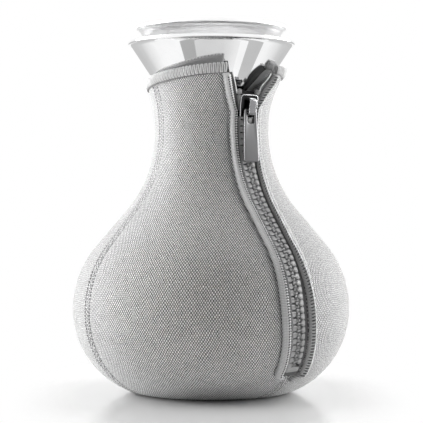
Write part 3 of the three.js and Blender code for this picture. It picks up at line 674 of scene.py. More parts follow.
HEM_SECTION = [  # drop from the edge, level
    (-HEM_BAND, 0.1), (-HEM_BAND + 0.3, 0.5), (-HEM_BAND + 1, 0.75), (-2.6, 0.85), (-1.2, 0.7), (-0.5, 0.35),
    (-0.1, -0.3), (0, -1.2), (-0.1, -2), (-0.5, -2.6), (-1.2, -2.95), (-HEM_BAND, -3)]
OVERLOCK = [
    (-HEM_BAND + 0.2, 0.35), (-HEM_BAND + 0.9, 0.95), (-3, 1.12), (-1.5, 1.0), (-0.45, 0.6), (0.1, -0.1),
    (0.22, -0.8), (0.18, -1.5)]

yarn_runs = np.linspace(0, 240, 481)
yarn_pitch = np.array([WEFT_PITCH - WEFT_CLOSER * grows(run, WEFT_CLIMB) for run in yarn_runs])
yarn_count = np.concatenate([[0], np.cumsum((yarn_runs[1] - yarn_runs[0]) / yarn_pitch[:-1])])


def yarn_place(run, azimuth):
    """Warp and weft yarn at a place; the cloth is stretched more where the jacket is wider."""
    girth = outline(run)[0] ** 0.85 * BODY_RADIUS ** 0.15
    return azimuth * girth / WARP_PITCH, float(np.interp(run, yarn_runs, yarn_count))


def softness(run, azimuth):
    """Slow swells of the padded cloth."""
    up = run / SWELL_LENGTH
    return sum(size * sin(around * azimuth + climb * up + start) for size, around, climb, start in SWELLS)


def seam_sink(distance, run):
    """The seam pulls the cloth in, and its stitches pucker it."""
    beside = distance - SEAM_ROW
    return dip(PUCKER, beside) * cos(PI * run / SEAM_STITCH) - dip(SEAM_DIP, distance) - dip(ROW_DIP, beside)


def seam_edge(azimuth, turn):
    return lambda run: azimuth + turn * SEAM_GAP / 2 / outline(run)[0]


def zip_edge(side):
    return lambda run: strip_azimuth(side, run, slot_half(run, TAPE_LAP, PANEL_FOOT))


def welt_dip(zip_on, distance):
    """The left welt presses the front panel in along its outer edge; on the right the cloth runs over."""
    share, press = WELT_PRESS[zip_on]
    beside = distance - WELT_WIDTH * share + TAPE_LAP
    return dip(press, beside - WELT_ASIDE) + dip(EDGE_DIP, distance)


def panel_skin(loops, places):
    """Skin over the loops of a panel, each out along its face and back along its lining."""
    rows, count = len(loops), len(loops[0])
    half, last = count // 2, (rows - 1) * count
    faces = grid(rows, count)
    for j in range(half - 1):
        faces.append((j, count - 1 - j, count - 2 - j, j + 1))
        faces.append((last + j, last + j + 1, last + count - 2 - j, last + count - 1 - j))
    shape = Shape().add(flat(loops), faces, flat(places))
    shape.marks[:last] = [int(half <= k % count < count - 1) for k in range(last)]
    return shape


def panel_level(run, azimuth, edges, zip_on):
    """Level of a panel's face; edges lists (side, distance)."""
    drop = hem_run(azimuth) - run
    out = softness(run, azimuth) * smooth_step(run / SWELL_FOOT) * smooth_step(drop / SWELL_HEM)
    for side, distance in edges:
        level = seam_sink(distance, run)
        if side == zip_on:
            under = grows(run, WELT_START)
            level = (1 - under) * level - under * welt_dip(zip_on, distance)
        out += level
    return out - dip(HEM_DIP, drop - HEM_BAND) - dip(FOOT_DIP, run)


def panel(name, left_at, right_at, zip_on=0):
    """One padded panel between two edges; zip_on says which of its edges, -1 or 1, runs along the zip."""
    shares = [j / PANEL_COLUMNS for j in range(PANEL_COLUMNS + 1)]
    columns = [PANEL_SPREAD * t + (1 - PANEL_SPREAD) * (0.5 - 0.5 * cos(PI * t)) for t in shares]
    middle = (left_at(lower_length) + right_at(lower_length)) / 2
    loops, places = [], []
    for up in (i / PANEL_ROWS for i in range(PANEL_ROWS + 1)):
        outer, inner, spots = [], [], []
        for t in columns:
            run = up * hem_run(0)
            for _ in range(5):
                azimuth = left_at(run) + (right_at(run) - left_at(run)) * t
                run = up * (hem_run(azimuth) - strip_drop)
            radius = outline(run)[0]
            edges = ((-1, (azimuth - left_at(run)) * radius), (1, (right_at(run) - azimuth) * radius))
            outer.append(on_jacket(run, azimuth, panel_level(run, azimuth, edges, zip_on)))
            inner.append(on_jacket(run, azimuth, -JACKET_THICKNESS))
            spots.append(yarn_place(run, azimuth - middle))
        loops.append(outer + inner[::-1])
        places.append(spots + spots[::-1])
    make(name, panel_skin(loops, places), [WEAVE, LINING], "vessel", 60)


def stitch(shape, start, end, rise=0.36, sink=0.5):
    """One stitch between two places (run, azimuth, level), its ends sunk in the cloth."""
    path = []
    for t in (k / 5 for k in range(6)):
        run, azimuth, level = (a + (b - a) * t for a, b in zip(start, end))
        path.append(on_jacket(run, azimuth, level - sink + (rise + sink) * sqrt(sin(PI * t) + 1e-9)))
    tube(shape, path, THREAD, 6, 0.8)


def seam_stitches(name, azimuth_at, high):
    """Two rows of stitches, one on each side of a seam."""
    shape, low = Shape(), 3
    count = round((high - low) / SEAM_STITCH)
    for row in (-1, 1):
        for k in range(count):
            run = low + (high - low) * k / count
            ends = [run + share * SEAM_STITCH for share in (0.15, 0.65)]
            stitch(shape, *((at, azimuth_at(at) + row * SEAM_ROW / outline(at)[0], -0.15) for at in ends))
    sewn(name, shape, STITCH)


def jacket():
    left, right, back = SEAMS.values()
    panel("jacket_front", seam_edge(left, 1), zip_edge(LEFT), 1)
    panel("jacket_right", zip_edge(RIGHT), seam_edge(right, -1), -1)
    panel("jacket_back", seam_edge(right, 1), seam_edge(back, -1))
    panel("jacket_left", seam_edge(back, 1), seam_edge(left + 2 * PI, -1))
    for name, azimuth in SEAMS.items():
        seam_stitches(f"seam_stitches_{name}", seam_edge(azimuth, 0), hem_run(azimuth) - HEM_BAND - 1)
    seam_stitches("seam_stitches_below_zip", zip_azimuth, ZIP_END - WELT_FOOT - 1)


def base_panel():
    """Disc under the jacket, sewn in by its edge."""
    outer = outline(0)[0]
    inner, height = outline(0, -JACKET_THICKNESS)
    edge = [(9, 0.5), (7, 0.35), (5, 0), (1.4, 0), (0.7, 0.15), (0.45, 0.6)]  # in from the edge, height
    profile = [(0, 0.5)] + [(outer - depth, z) for depth, z in edge] + [(inner - 0.2, height), (0, height)]
    shape = turned(profile, 120)
    shape.places = [(p.x / WARP_PITCH, p.y / WEFT_PITCH) for p in shape.points]
    make("jacket_base", shape, [WEAVE], "vessel")


def hem():
    """Band round the top edge, its ends rounded off beside the zip."""
    top = hem_run(0)
    start, end = (side * beside_edge(side, top, SLOT_HALF) / outline(top)[0] for side in (RIGHT, LEFT))
    end += 2 * PI
    loops, places = [], []
    for azimuth in (start + (end - start) * j / HEM_COLUMNS for j in range(HEM_COLUMNS + 1)):
        near = min(azimuth - start, end - azimuth) * outline(hem_run(azimuth))[0]
        full = sqrt(max(HEM_THIN, 1 - max(0, 1 - near / HEM_ROUND) ** 2))
        runs = [hem_run(azimuth) + drop * (1 - HEM_TAPER * (1 - full)) for drop, _ in HEM_SECTION]
        levels = [HEM_CORE + (out - HEM_CORE) * full for _, out in HEM_SECTION]
        loops.append([on_jacket(run, azimuth, level) for run, level in zip(runs, levels)])
        places.append([(run, azimuth * outline(run)[0]) for run in runs])
    make("hem_band", loft(Shape(), loops, places), [HEM_CLOTH], "vessel", 60)
    overlock(start, end)


def overlock(start, end):
    """Threads wrapped over the hem, every second one slanting, and a row of stitches under it."""
    rng = random.Random(4)
    threads, row = Shape(), Shape()
    count = round((end - start) * outline(hem_run(PI))[0] / HEM_PITCH)
    drop = HEM_BAND + 0.35
    for k in range(count):
        azimuth = start + (end - start) * (k + 0.5) / count
        slant = OVERLOCK_SLANT + rng.uniform(-SLANT_SPREAD, SLANT_SPREAD)
        slant *= (1 if k % 2 else UPRIGHT) / outline(hem_run(azimuth))[0]
        path = []
        for i, (down, out) in enumerate(OVERLOCK):
            at = azimuth + slant * (0.5 - i / (len(OVERLOCK) - 1))
            path.append(on_jacket(hem_run(at) + down, at, out - OVERLOCK_SINK))
        tube(threads, path, OVERLOCK_RADIUS + rng.uniform(-RADIUS_SPREAD, RADIUS_SPREAD))
        ends = [start + (end - start) * (k + share) / count for share in (0.1, 0.85)]
        stitch(row, *((hem_run(at) - drop, at, 0.0) for at in ends), 0.5, 0.45)
    sewn("hem_overlock", threads, HEM_STITCH)
    sewn("hem_stitches", row, STITCH)


# ---- Zip

SPLIT_ROWS = 26
WELT_SHARE, WELT_NARROWER, WELT_CLIMB = 0.78, 0.15, (70, 40)
PLACKET_FOOT, CREST_PLACE, PLACKET_END, CREST_LEVEL = 0.31, 0.83, 1.52, 2.98
PLACKET_LEAST, PLACKET_DEEP = 0.02, 0.4
CREST_NECK, CREST_CLIMB, CREST_MOUTH, MOUTH_START, MOUTH_END = 0.1, (66, 44), 0.35, (0, 8), (28, 14)
WELT_PITCH, TICK_PITCH, PLACKET_PITCH, CREST_PITCH, CREST_WAVE = 1.42, 1.72, 1.8, 0.86, 0.1
WELT_SECTION = [  # share across, level
    (0.94, -0.3), (1.0, 0.3), (0.985, 0.9), (0.93, 1.5), (0.83, 2.1), (0.7, 2.55), (0.54, 2.8), (0.38, 2.82),
    (0.24, 2.66), (0.12, 2.32), (0.04, 1.85), (0.0, 1.2), (0.01, 0.5), (0.1, 0.1)]
WELT_THREAD = [(0.2, 2.5), (0.15, 2.62), (0.08, 2.36), (0.01, 1.95), (-0.04, 1.3), (0.0, 0.75)]
WELT_HOLE = [(0.38, 2.7), (0.33, 2.84), (0.27, 2.8), (0.2, 2.6)]
PLACKET_WALL = [(0.34, -0.3), (0.31, 0.4), (0.36, 1.0), (0.44, 1.7), (0.54, 2.3), (0.65, 2.72), (0.76, 2.92)]
PLACKET_SLOPE = [
    (0.86, 2.9), (0.98, 2.66), (1.1, 2.2), (1.22, 1.6), (1.33, 0.98), (1.43, 0.42), (1.5, 0.02), (1.52, -0.5)]
PLACKET_TICK = [(0.44, 1.85), (0.54, 2.42), (0.65, 2.84), (0.74, 3.0)]
PLACKET_STITCH = [(0.98, 2.5), (0.98, 2.74), (0.98, 2.5)]
TAPE_EDGE, TAPE_THIN, TAPE_MEET = TOOTH_REACH + 0.1, 0.4, 0.02
TAPE_BEND, TAPE_HELD = 8, (TOOTH_REACH + 0.5, 3)
TAPE_PATH = [  # distance across, level
    (TAPE_EDGE, 0.0), (6.2, 0.0), (7.2, -0.1), (7.9, -0.7), (8.05, -1.6), (8.1, -2.5), (8.4, -3.1),
    (9.2, -3.25), (14.2, -3.25)]
# The bare end is folded back to the panel; on the right it first stands out
TAPE_FOLD, TAPE_LOOSE, LOOSE_LENGTH = 2.2, 2.4, 6
TOOTH = [  # place along the tooth, half width, rounding
    (-TOOTH_REACH, 1.46, 0.6), (-2.0, 1.5, 0.5), (-1.45, 0.7, 0.2), (-0.2, 0.55, 0.2), (0.2, 0.92, 0.3),
    (TOOTH_HEAD, 0.75, 0.5)]


def strip_place(row, rows, azimuth_at):
    """Run and azimuth of a strip's row; above the split the rows are shared out up to the hem."""
    if row < len(rows):
        return rows[row], azimuth_at(rows[row])
    share = (row - len(rows) + 1) / SPLIT_ROWS
    run = split_run + share * (hem_run(0) - strip_drop - split_run)
    for _ in range(5):
        run = split_run + share * (hem_run(azimuth_at(run)) - strip_drop - split_run)
    return run, azimuth_at(run)


def strip(side, low, section, azimuth_of, place_of, marks):
    """Skin of a strip along the zip: section lists (distance across, level)."""
    rows = spaced(low, teeth_foot, 0.5)
    rows += spaced(rows[-1], split_run, 1.6)[1:]
    loops, places = [], []
    for row in range(len(rows) + SPLIT_ROWS):
        loop, spots = [], []
        for across, level in section:
            run, azimuth = strip_place(row, rows, lambda at: azimuth_of(at, across))
            loop.append(on_jacket(run, azimuth, level))
            spots.append(place_of(run, azimuth, across, level))
        loops.append(loop[::side])
        places.append(spots[::side])
    shape = loft(Shape(), loops, places)
    order = marks if side > 0 else marks[-2::-1] + marks[-1:]
    shape.marks = [order[k % len(section)] for k in range(len(shape.faces) - 2)] + [0, 0]
    return shape


def welt_share(run):
    """Share of its full width that the left welt takes: less on the neck."""
    return WELT_SHARE - WELT_NARROWER * grows(run, WELT_CLIMB)


def crest_share(run):
    """Place of the placket's crest: far out on the belly, close to the teeth on the neck."""
    above = run - split_run
    mouth = grows(above, MOUTH_START) * fades(above, MOUTH_END)
    return CREST_PLACE + (CREST_NECK - CREST_PLACE) * grows(run, CREST_CLIMB) + CREST_MOUTH * mouth


def placket_share(run, share):
    """Share across the placket once its crest has moved; its foot stays clear of the slider."""
    crest = crest_share(run)
    foot = min(PLACKET_FOOT, max(PLACKET_LEAST, crest - PLACKET_DEEP))
    if share <= CREST_PLACE:
        return foot + (crest - foot) * (share - PLACKET_FOOT) / (CREST_PLACE - PLACKET_FOOT)
    return crest + (PLACKET_END - crest) * (share - CREST_PLACE) / (PLACKET_END - CREST_PLACE)


def welt_azimuth(side):
    """Across a welt from its inner edge, 0, to its outer edge, 1."""
    def azimuth(run, share):
        inner, outer = slot_half(run), slot_half(run, WELT_WIDTH, WELT_FOOT)
        share = share * welt_share(run) if side < 0 else placket_share(run, share)
        return strip_azimuth(side, run, inner + (outer - inner) * share)
    return azimuth


def edge_threads(name, thread, side, wrap, low, high, pitch, radius, lean):
    """Threads along a welt's edge; wrap lists (share across, level), low and high count from its ends."""
    rng = random.Random(11 + side)
    azimuth = welt_azimuth(side)
    shape, run = Shape(), ZIP_END + low
    while run < hem_run(0) - HEM_BAND - high:
        path = []
        for k, (share, level) in enumerate(wrap):
            at = run + lean * pitch * (k / (len(wrap) - 1) - 0.5) + rng.uniform(-0.04, 0.04)
            path.append(on_jacket(at, azimuth(at, share), level))
        tube(shape, path, radius * rng.uniform(0.92, 1.08), 6, 0.8)
        run += pitch / sqrt(1 + (parted(side, run + 1) - parted(side, run)) ** 2)
    sewn(name, shape, thread)


def plain_place(run, azimuth, across, level):
    return across + level, run


def welt_left():
    """Round welt of fine cloth, its inner edge bound with pale threads."""
    def place(run, azimuth, share, level):
        return plain_place(run, azimuth, share * 5, level)

    shape = strip(LEFT, ZIP_END + 0.6, WELT_SECTION, welt_azimuth(LEFT), place, [0] * len(WELT_SECTION))
    make("zip_welt_left", shape, [EDGE], "vessel", 60)
    edge_threads(
        "welt_threads_left", PALE_STITCH, LEFT, WELT_THREAD, 2, 2.2, WELT_PITCH, radius=0.4, lean=0.45)
    # Short near-black threads by the welt's stitches: painted shade in the needle holes.
    edge_threads("welt_holes_left", SHADE_THREAD, LEFT, WELT_HOLE, 2.7, 2.2, WELT_PITCH, radius=0.35, lean=0.5)


def welt_right():
    """Placket beside the zip: a wall in darker cloth, painted shade for the shade it stands in, up to a bound
    crest, then the jacket's own cloth.
    """
    section = (PLACKET_WALL + PLACKET_SLOPE)[::-1]
    bound = 3
    # The wall's faces take the darker cloth, painted shade; the bound top takes the welt's cloth and the
    # slope the jacket's.
    marks = [1] * len(PLACKET_SLOPE) + [2] * bound + [0] * (len(PLACKET_WALL) - bound)
    middle = (zip_edge(RIGHT)(lower_length) + seam_edge(SEAMS["right"], -1)(lower_length)) / 2
    azimuth_of = welt_azimuth(RIGHT)

    def place(run, azimuth, share, level):
        if share > 0.7:
            return yarn_place(run, azimuth - middle)
        return plain_place(run, azimuth, share * 5, level)

    shape = strip(RIGHT, ZIP_END - WELT_FOOT + SEAM_GAP, section, azimuth_of, place, marks)
    make("zip_welt_right", shape, [SHADED_PLACKET_CLOTH, WEAVE, EDGE], "vessel", 60)
    # Near-black ticks on the placket's wall: painted shade in the grooves between the wraps of its edge.
    edge_threads("placket_ticks", SHADE_THREAD, RIGHT, PLACKET_TICK, 2, 1, TICK_PITCH, radius=0.36, lean=0.35)
    edge_threads("placket_stitches", STITCH, RIGHT, PLACKET_STITCH, 4, 1, PLACKET_PITCH, radius=0.2, lean=0.6)
    runs = spaced(ZIP_END + 2, hem_run(0) - HEM_BAND - 1, CREST_PITCH)
    levels = [CREST_LEVEL + CREST_WAVE * (-1) ** k for k in range(len(runs))]
    path = [on_jacket(run, azimuth_of(run, CREST_PLACE), level) for run, level in zip(runs, levels)]
    sewn("welt_crest_right", tube(Shape(), path, 0.4, 7), CREST)


def tape_azimuth(side):
    """Across a tape: it hangs on the teeth by its inner edge and on the panel by its outer part."""
    def azimuth(run, distance):
        above = grows(run, (teeth_top, hem_run(0) - teeth_top))
        share = grows(distance, TAPE_HELD)
        inner = TAPE_EDGE
        if run < teeth_foot + STOP_LENGTH / 2:
            inner = TAPE_MEET
        elif side > 0:
            inner -= TAPE_LOOSE * grows(run, (teeth_top, LOOSE_LENGTH)) * (1 - above)
        distance = inner + max(0, distance - TAPE_EDGE) * (TAPE_BEND - inner) / (TAPE_BEND - TAPE_EDGE)
        distance += TAPE_FOLD * above * (1 - share)
        distance *= slot_half(run, TAPE_LAP, TAPE_LAP) / (SLOT_HALF + TAPE_LAP)
        across = (1 - share) * beside_edge(ROWS, run, distance) + share * beside_edge(side, run, distance)
        return zip_azimuth(run, side * across)
    return azimuth


def tape(side):
    """Woven tape from the teeth to behind the panel; gives the piece, its flat width, length and area."""
    back = []
    for k, (distance, level) in enumerate(TAPE_PATH):
        a, b = TAPE_PATH[max(0, k - 1)], TAPE_PATH[min(len(TAPE_PATH) - 1, k + 1)]
        along = Vector((b[0] - a[0], b[1] - a[1])).normalized()
        back.append((distance + along.y * TAPE_THIN, level - along.x * TAPE_THIN))
    section = (TAPE_PATH + back[::-1])[::-1]
    marks = [0] * (len(back) - 2) + [1] + [0] * (len(TAPE_PATH) + 1)
    shape = strip(side, ZIP_END + 0.4, section, tape_azimuth(side), plain_place, marks)
    # The tape's face takes the near-black cloth, painted shade; one band of its back takes the pale back
    # cloth.
    piece = make(f"zip_tape_{SIDE_NAMES[side]}", shape, [SHADED_TAPE, TAPE_BACK], "vessel", 60)
    count = len(section)
    rows = [shape.points[k:k + count] for k in range(0, len(shape.points), count)]
    girths = [sum((a - b).length for a, b in zip(row, row[1:] + row[:1])) for row in rows]
    width = max(girths) / 2 - TAPE_THIN
    length = max(sum((a[k] - b[k]).length for a, b in zip(rows, rows[1:])) for k in range(count))
    area = sum(face.area for face in piece.data.polygons) / 2 - TAPE_THIN * length * MM ** 2
    return piece, width * MM, length * MM, area


def tape_cord(side):
    """Corded edge of the bare tape above the stop."""
    azimuth = tape_azimuth(side)
    top = hem_run(azimuth(hem_run(0), TOOTH_REACH)) - HEM_BAND
    path = [on_jacket(run, azimuth(run, TAPE_EDGE), 0.05) for run in spaced(teeth_top + GAP, top, 0.5)]
    sewn(f"tape_cord_{SIDE_NAMES[side]}", tube(Shape(), path, 0.3, 8), CORD)


def chain_place(side, run):
    """Frame on a row of teeth: x towards the other row, y along the row, z out of the jacket."""
    def at(place, out=CHAIN_LEVEL):
        return on_jacket(place, zip_azimuth(place, side * parted(ROWS, place)), out)

    along = (at(run + GAP) - at(run - GAP)).normalized() * -side
    inward = along.cross(at(run, 1) - at(run, 0)).normalized()
    return axes(inward, along, inward.cross(along), at(run))


def teeth(side):
    """One row of teeth, each with a foot, a neck and a head, on their cord, and the stop above them."""
    corners = [(x, -y) for x, y, _ in TOOTH] + [(x, y) for x, y, _ in reversed(TOOTH)]
    radii = [radius for _, _, radius in TOOTH]
    half_height = TOOTH_HEIGHT / 2
    loop = fillet(corners, radii + radii[::-1], 4)
    tooth = plate(Shape(), loop, -half_height, half_height - 0.1, 0.4, 4, 0.1)
    half = TOOTH_PITCH / 4 - GAP / 2 + TOOTH_TAPER * (TOOTH_HEAD + GAP)
    run, runs = teeth_foot + STOP_LENGTH + GAP + half + (TOOTH_PITCH / 2 if side > 0 else 0), []
    while run + half < teeth_top:
        runs.append(run)
        run += TOOTH_PITCH
    shape = Shape()
    for run in runs:
        matrix = chain_place(side, run)
        shape.add([matrix @ p for p in tooth.points], tooth.faces)
    foot = Vector((-TOOTH_REACH + 0.5, 0, 0))
    tube(shape, [chain_place(side, run) @ foot for run in spaced(runs[0], runs[-1], 1.8)], 0.62, 8)
    make(f"zip_teeth_{SIDE_NAMES[side]}", shape, [TEETH], "vessel", 40)
    block = fillet(box(-TOOTH_REACH, -1.3, -1.6, 1.3), 0.7, 4)
    stop = plate(Shape(), block, -half_height + 0.2, half_height - 0.5, 0.45, 4, 0.08)
    stop.moved(chain_place(side, teeth_top + GAP + STOP_LENGTH / 2))
    make(f"zip_top_stop_{SIDE_NAMES[side]}", stop, [STOP], "vessel", 40)


def bottom_stop():
    block = fillet(box(-TOOTH_REACH, -1.65, TOOTH_REACH, 1.65), 1.1)
    shape = plate(Shape(), block, -TOOTH_HEIGHT / 2, TOOTH_HEIGHT / 2, 0.55, 3, 0.3)
    shape.moved(chain_place(LEFT, teeth_foot + STOP_LENGTH / 2))
    make("zip_bottom_stop", shape, [TEETH], "vessel", 40)


# ---- Slider and pull

bow = SLIDER_LENGTH ** 2 / 8 / NECK_ARC
plate_under = -TOOTH_HEIGHT / 2 - GAP
plate_over = TOOTH_HEIGHT / 2 + GAP + bow
bridge_foot = plate_over + PLATE
rod_level = bridge_foot + BRIDGE_SPACE / 2


def carriage():
    """Frame of the slider: x across the zip, y up along it, z out of the jacket."""
    rise = (slider_run - waist_run) / NECK_ARC
    radius, height = outline(slider_run, CHAIN_LEVEL)
    local = axes((0, 1, 0), (sin(rise), 0, cos(rise)), (cos(rise), 0, -sin(rise)), (radius, 0, height))
    return Matrix.Rotation(ZIP_AZIMUTH, 4, "Z") @ local


def slider():
    """Two plates with side flanges, a wedge between them, and the bridge that holds the pull."""
    top, wide = SLIDER_LENGTH / 2, SLOT_HALF - GAP
    rail = TOOTH_REACH + GAP
    narrow = rail + FLANGE
    rail_top = split_run - slider_run
    under, over = plate_under - PLATE / 2, plate_over + PLATE / 2
    corners = [(-narrow, -top), (narrow, -top), (wide, 0), (wide, top), (-wide, top), (-wide, 0)]
    loop = fillet(corners, [1.3, 1.3, 6, 2.4, 2.4, 6], 6)
    shape = plate(Shape(), loop, plate_under - PLATE, plate_under, 0.4, 4)
    first = len(shape.faces)
    plate(shape, loop, plate_over, bridge_foot, 0.3, 4, mark=2, cap=0)
    # Painted highlight and shade: the upper plate's edges take the bright zinc as a highlight, but near its
    # top end they keep the near-black painted shade.
    for k in range(first, len(shape.faces)):  # the upper plate's bright edge stays dark at its top end
        corner = min((shape.points[v] for v in shape.faces[k]), key=lambda p: p.z)
        if corner.y > top - 1.5 and corner.z < bridge_foot - 0.35:
            shape.marks[k] = 0
    for sign in (-1, 1):
        left, right = sorted((sign * rail, sign * narrow))
        flange = fillet(box(left, -top + 0.5, right, rail_top), 0.2, 3)
        plate(shape, flange, TAPE_SLOT / 2, over, 0.15, 2)
        plate(shape, flange, under, -TAPE_SLOT / 2, 0.15, 2)
    wedge_top, half = top - WEDGE_INSET, WEDGE_WIDTH / 2
    wedge_middle = wedge_top - WEDGE_LENGTH / 2
    wedge = [(0, wedge_top - WEDGE_LENGTH), (half, wedge_middle), (0, wedge_top), (-half, wedge_middle)]
    plate(shape, fillet(wedge, 0.25, 3), under, over, 0.1, 2)
    bridge(shape)
    # The slider's body takes the near-black painted shade, its upper edges the painted highlight, and the
    # bridge plain plated zinc.
    make("zip_slider", shape.moved(carriage()), [SHADED_NICKEL, NICKEL, HIGHLIGHT_NICKEL], "slider", 40)


def bridge(shape):
    """Arch along the slider: a flat bar bent over the pull's rod."""
    half = BRIDGE_BAR / 2
    end, top = BRIDGE_LENGTH / 2 - half, BRIDGE_SPACE + half
    path = fillet([(-end, -0.3), (-end, top), (end, top), (end, -0.3)], [0, 1.6, 1.6, 0], 10)
    section = fillet(box(-BRIDGE_WIDTH / 2, -half, BRIDGE_WIDTH / 2, half), 0.4, 4)
    loops = []
    for i, point in enumerate(path):
        along = (path[min(i + 1, len(path) - 1)] - path[max(i - 1, 0)]).normalized()
        rise = bridge_foot + point.y
        loops.append([Vector((p.x, point.x - p.y * along.y, rise + p.y * along.x)) for p in section])
    loft(shape, loops, None, 1)


def pull():
    """Bare flat tab with an eye, its upper bar the rod that turns under the bridge."""
    half, top, rod, thick = PULL_WIDTH / 2, PULL_TOP / 2, PULL_ROD / 2, PULL_THICKNESS / 2
    side = BRIDGE_WIDTH / 2 + GAP
    tab = [(-top, rod), (-half, -PULL_LENGTH), (half, -PULL_LENGTH), (top, rod)]
    eye = [(-side, -rod), (-side, -PULL_EYE), (side, -PULL_EYE), (side, -rod)]
    outer, hole = fillet(tab, [1.2, 1.0, 1.0, 1.2], 6), fillet(eye, [0.3, 1.7, 1.7, 0.3], 6)
    levels = rounded(-thick, thick, 0.4, 4)
    ring = stacked(outer, levels) + stacked(hole, [(-0.8 * d, z) for d, z in levels])[::-1]
    shape = loft(Shape(), ring, ring=True)
    faces = (len(levels) - 1, 2 * len(levels) - 1)
    # Flat faces take the satin zinc; the rounded edges take the lighter zinc, partly polish and partly a
    # painted highlight.
    shape.marks = [int(i not in faces) for i in range(len(ring)) for _ in outer]
    rod_place = Matrix.Translation((0, ROD_PLACE, rod_level)) @ Matrix.Rotation(-PULL_HANG, 4, "X")
    make("zip_pull", shape.moved(carriage() @ rod_place), [SATIN, PULL_EDGE_HIGHLIGHT], "pull", 40)


def zip_pieces():
    welt_left()
    welt_right()
    for side, panel_name in ((LEFT, "jacket_front"), (RIGHT, "jacket_right")):
        tape(side)
        tape_cord(side)
        teeth(side)
    bottom_stop()
    slider()
    pull()


# ---- Flask, collar, strainer and lid

glass_out = -JACKET_THICKNESS - FLASK_GAP
glass_in = glass_out - GLASS_WALL
throat_radius = NECK_RADIUS + glass_in - GAP - SEAL_WALL - GAP
throat_foot = waist_height - THROAT_DROP
cone_foot = waist_height + CONE_RISE
rim_height = waist_height + HEM_RISE + RIM_RISE
hem_rises = [HEM_RISE - HEM_TILT - HEM_BAND + (2 * HEM_TILT + HEM_BAND) * (k + 1) / 12 for k in range(12)]
cone_spaces = [neck_inside(rise, JACKET_THICKNESS) - HEM_CLEARANCE - throat_radius for rise in hem_rises]
lean = min(space / (rise - CONE_RISE) for space, rise in zip(cone_spaces, hem_rises))
slant = sqrt(1 + lean ** 2)
flask_lip = outline(neck_run(MOUTH_RISE) + GLASS_WALL / 3, (glass_out + glass_in) / 2)

skirt_outer = throat_radius - STEEL - GAP
skirt_inner = skirt_outer - STRAINER_WALL
rim_top = cone_foot + STRAINER_FLANGE
skirt_foot = cone_foot - STRAINER_SKIRT
basket_outer = skirt_inner - GAP
basket_inner = basket_outer - STRAINER_WALL
basket_foot = rim_top - STRAINER_LENGTH

lid_top = rim_height + LID_RISE
lid_floor = lid_top - LID_DEPTH
plug_top = lid_floor - GAP
plug_flange = rim_top + GAP
plug_radius = basket_inner - GAP - PLUG_GROOVE / 2
plug_foot = plug_flange - PLUG_DEPTH
ring_foot = cone_foot - RING_HEIGHT


def cone_radius(height, inward=0.0):
    """Radius of the pouring cone, moved inward square to its side."""
    return throat_radius + lean * (height - cone_foot) - inward * slant


def lid_radius(height, inward=0.0):
    return cone_radius(height, STEEL + inward) - LID_CHANNEL


def rolled(radius, height, steps=14):
    """Rolled rim round the end of a sheet that leans out."""
    along = Vector((lean, 1)).normalized()
    start = -math.acos(STEEL / 2 / ROLL)
    points = []
    for angle in (start + (PI - 2 * start) * i / steps for i in range(steps + 1)):
        out, up = ROLL * cos(angle), ROLL * sin(angle)
        points.append((radius + out * along.y + up * along.x, height - out * along.x + up * along.y))
    return points


def dense(points, step=2.0):
    """Profile with long straight lengths divided."""
    full = []
    for a, b in zip(points, points[1:]):
        count = max(1, int(math.dist(a, b) / step))
        full += [(a[0] + (b[0] - a[0]) * k / count, a[1] + (b[1] - a[1]) * k / count) for k in range(count)]
    return full + [points[-1]]


def bend(before, corner, after, radius, steps=6):
    """Rounded bend of a profile at a corner."""
    corner = Vector(corner)
    u, v = (Vector(before) - corner).normalized(), (Vector(after) - corner).normalized()
    cut = radius / math.tan(u.angle(v) / 2)
    return [tuple(p) for p in curve(corner + u * cut, corner, corner + v * cut, steps)]


def wall_end(first, second, level, depth, cut):
    """End of a sheet between two radii, its edges cut; depth is 1 at a foot and -1 at a top."""
    step = cut if second > first else -cut
    near = level + depth * cut
    return [(first, near), (first + step, level), (second - step, level), (second, near)]


def flask():
    runs = spaced(0, neck_run(MOUTH_RISE), 3)
    outer = [outline(run, glass_out) for run in runs]
    inner = [outline(run, glass_in) for run in reversed(runs)]
    a, b = Vector(outer[-1]), Vector(inner[0])
    centre = (a + b) / 2
    up = Vector(((b - a).y, -(b - a).x)).normalized() * (GLASS_WALL / 3)
    turns = [PI * k / 8 for k in range(1, 8)]
    lip = [tuple(centre + (a - centre) * cos(turn) + up * sin(turn)) for turn in turns]
    profile = [(0, outer[0][1])] + outer + lip + inner + [(0, inner[-1][1])]
    make("glass_flask", turned(profile), [GLASS], "vessel", 60)


def collar():
    inside = throat_radius - STEEL
    turn_in = cone_foot + (STEEL * slant - STEEL) / lean
    rim = rolled(cone_radius(rim_height, STEEL / 2), rim_height - ROLL)
    outer = wall_end(inside, throat_radius, throat_foot, 1, 0.3)
    outer += bend((throat_radius, throat_foot), (throat_radius, cone_foot), rim[0], 2.5) + rim
    inner = [rim[-1]] + bend(rim[-1], (inside, turn_in), (inside, throat_foot), 2.5)
    shape = turned_sheet(dense(outer), dense(inner)[1:])
    make("pouring_collar", shape, [MIRROR, BRUSHED], "collar", 60)


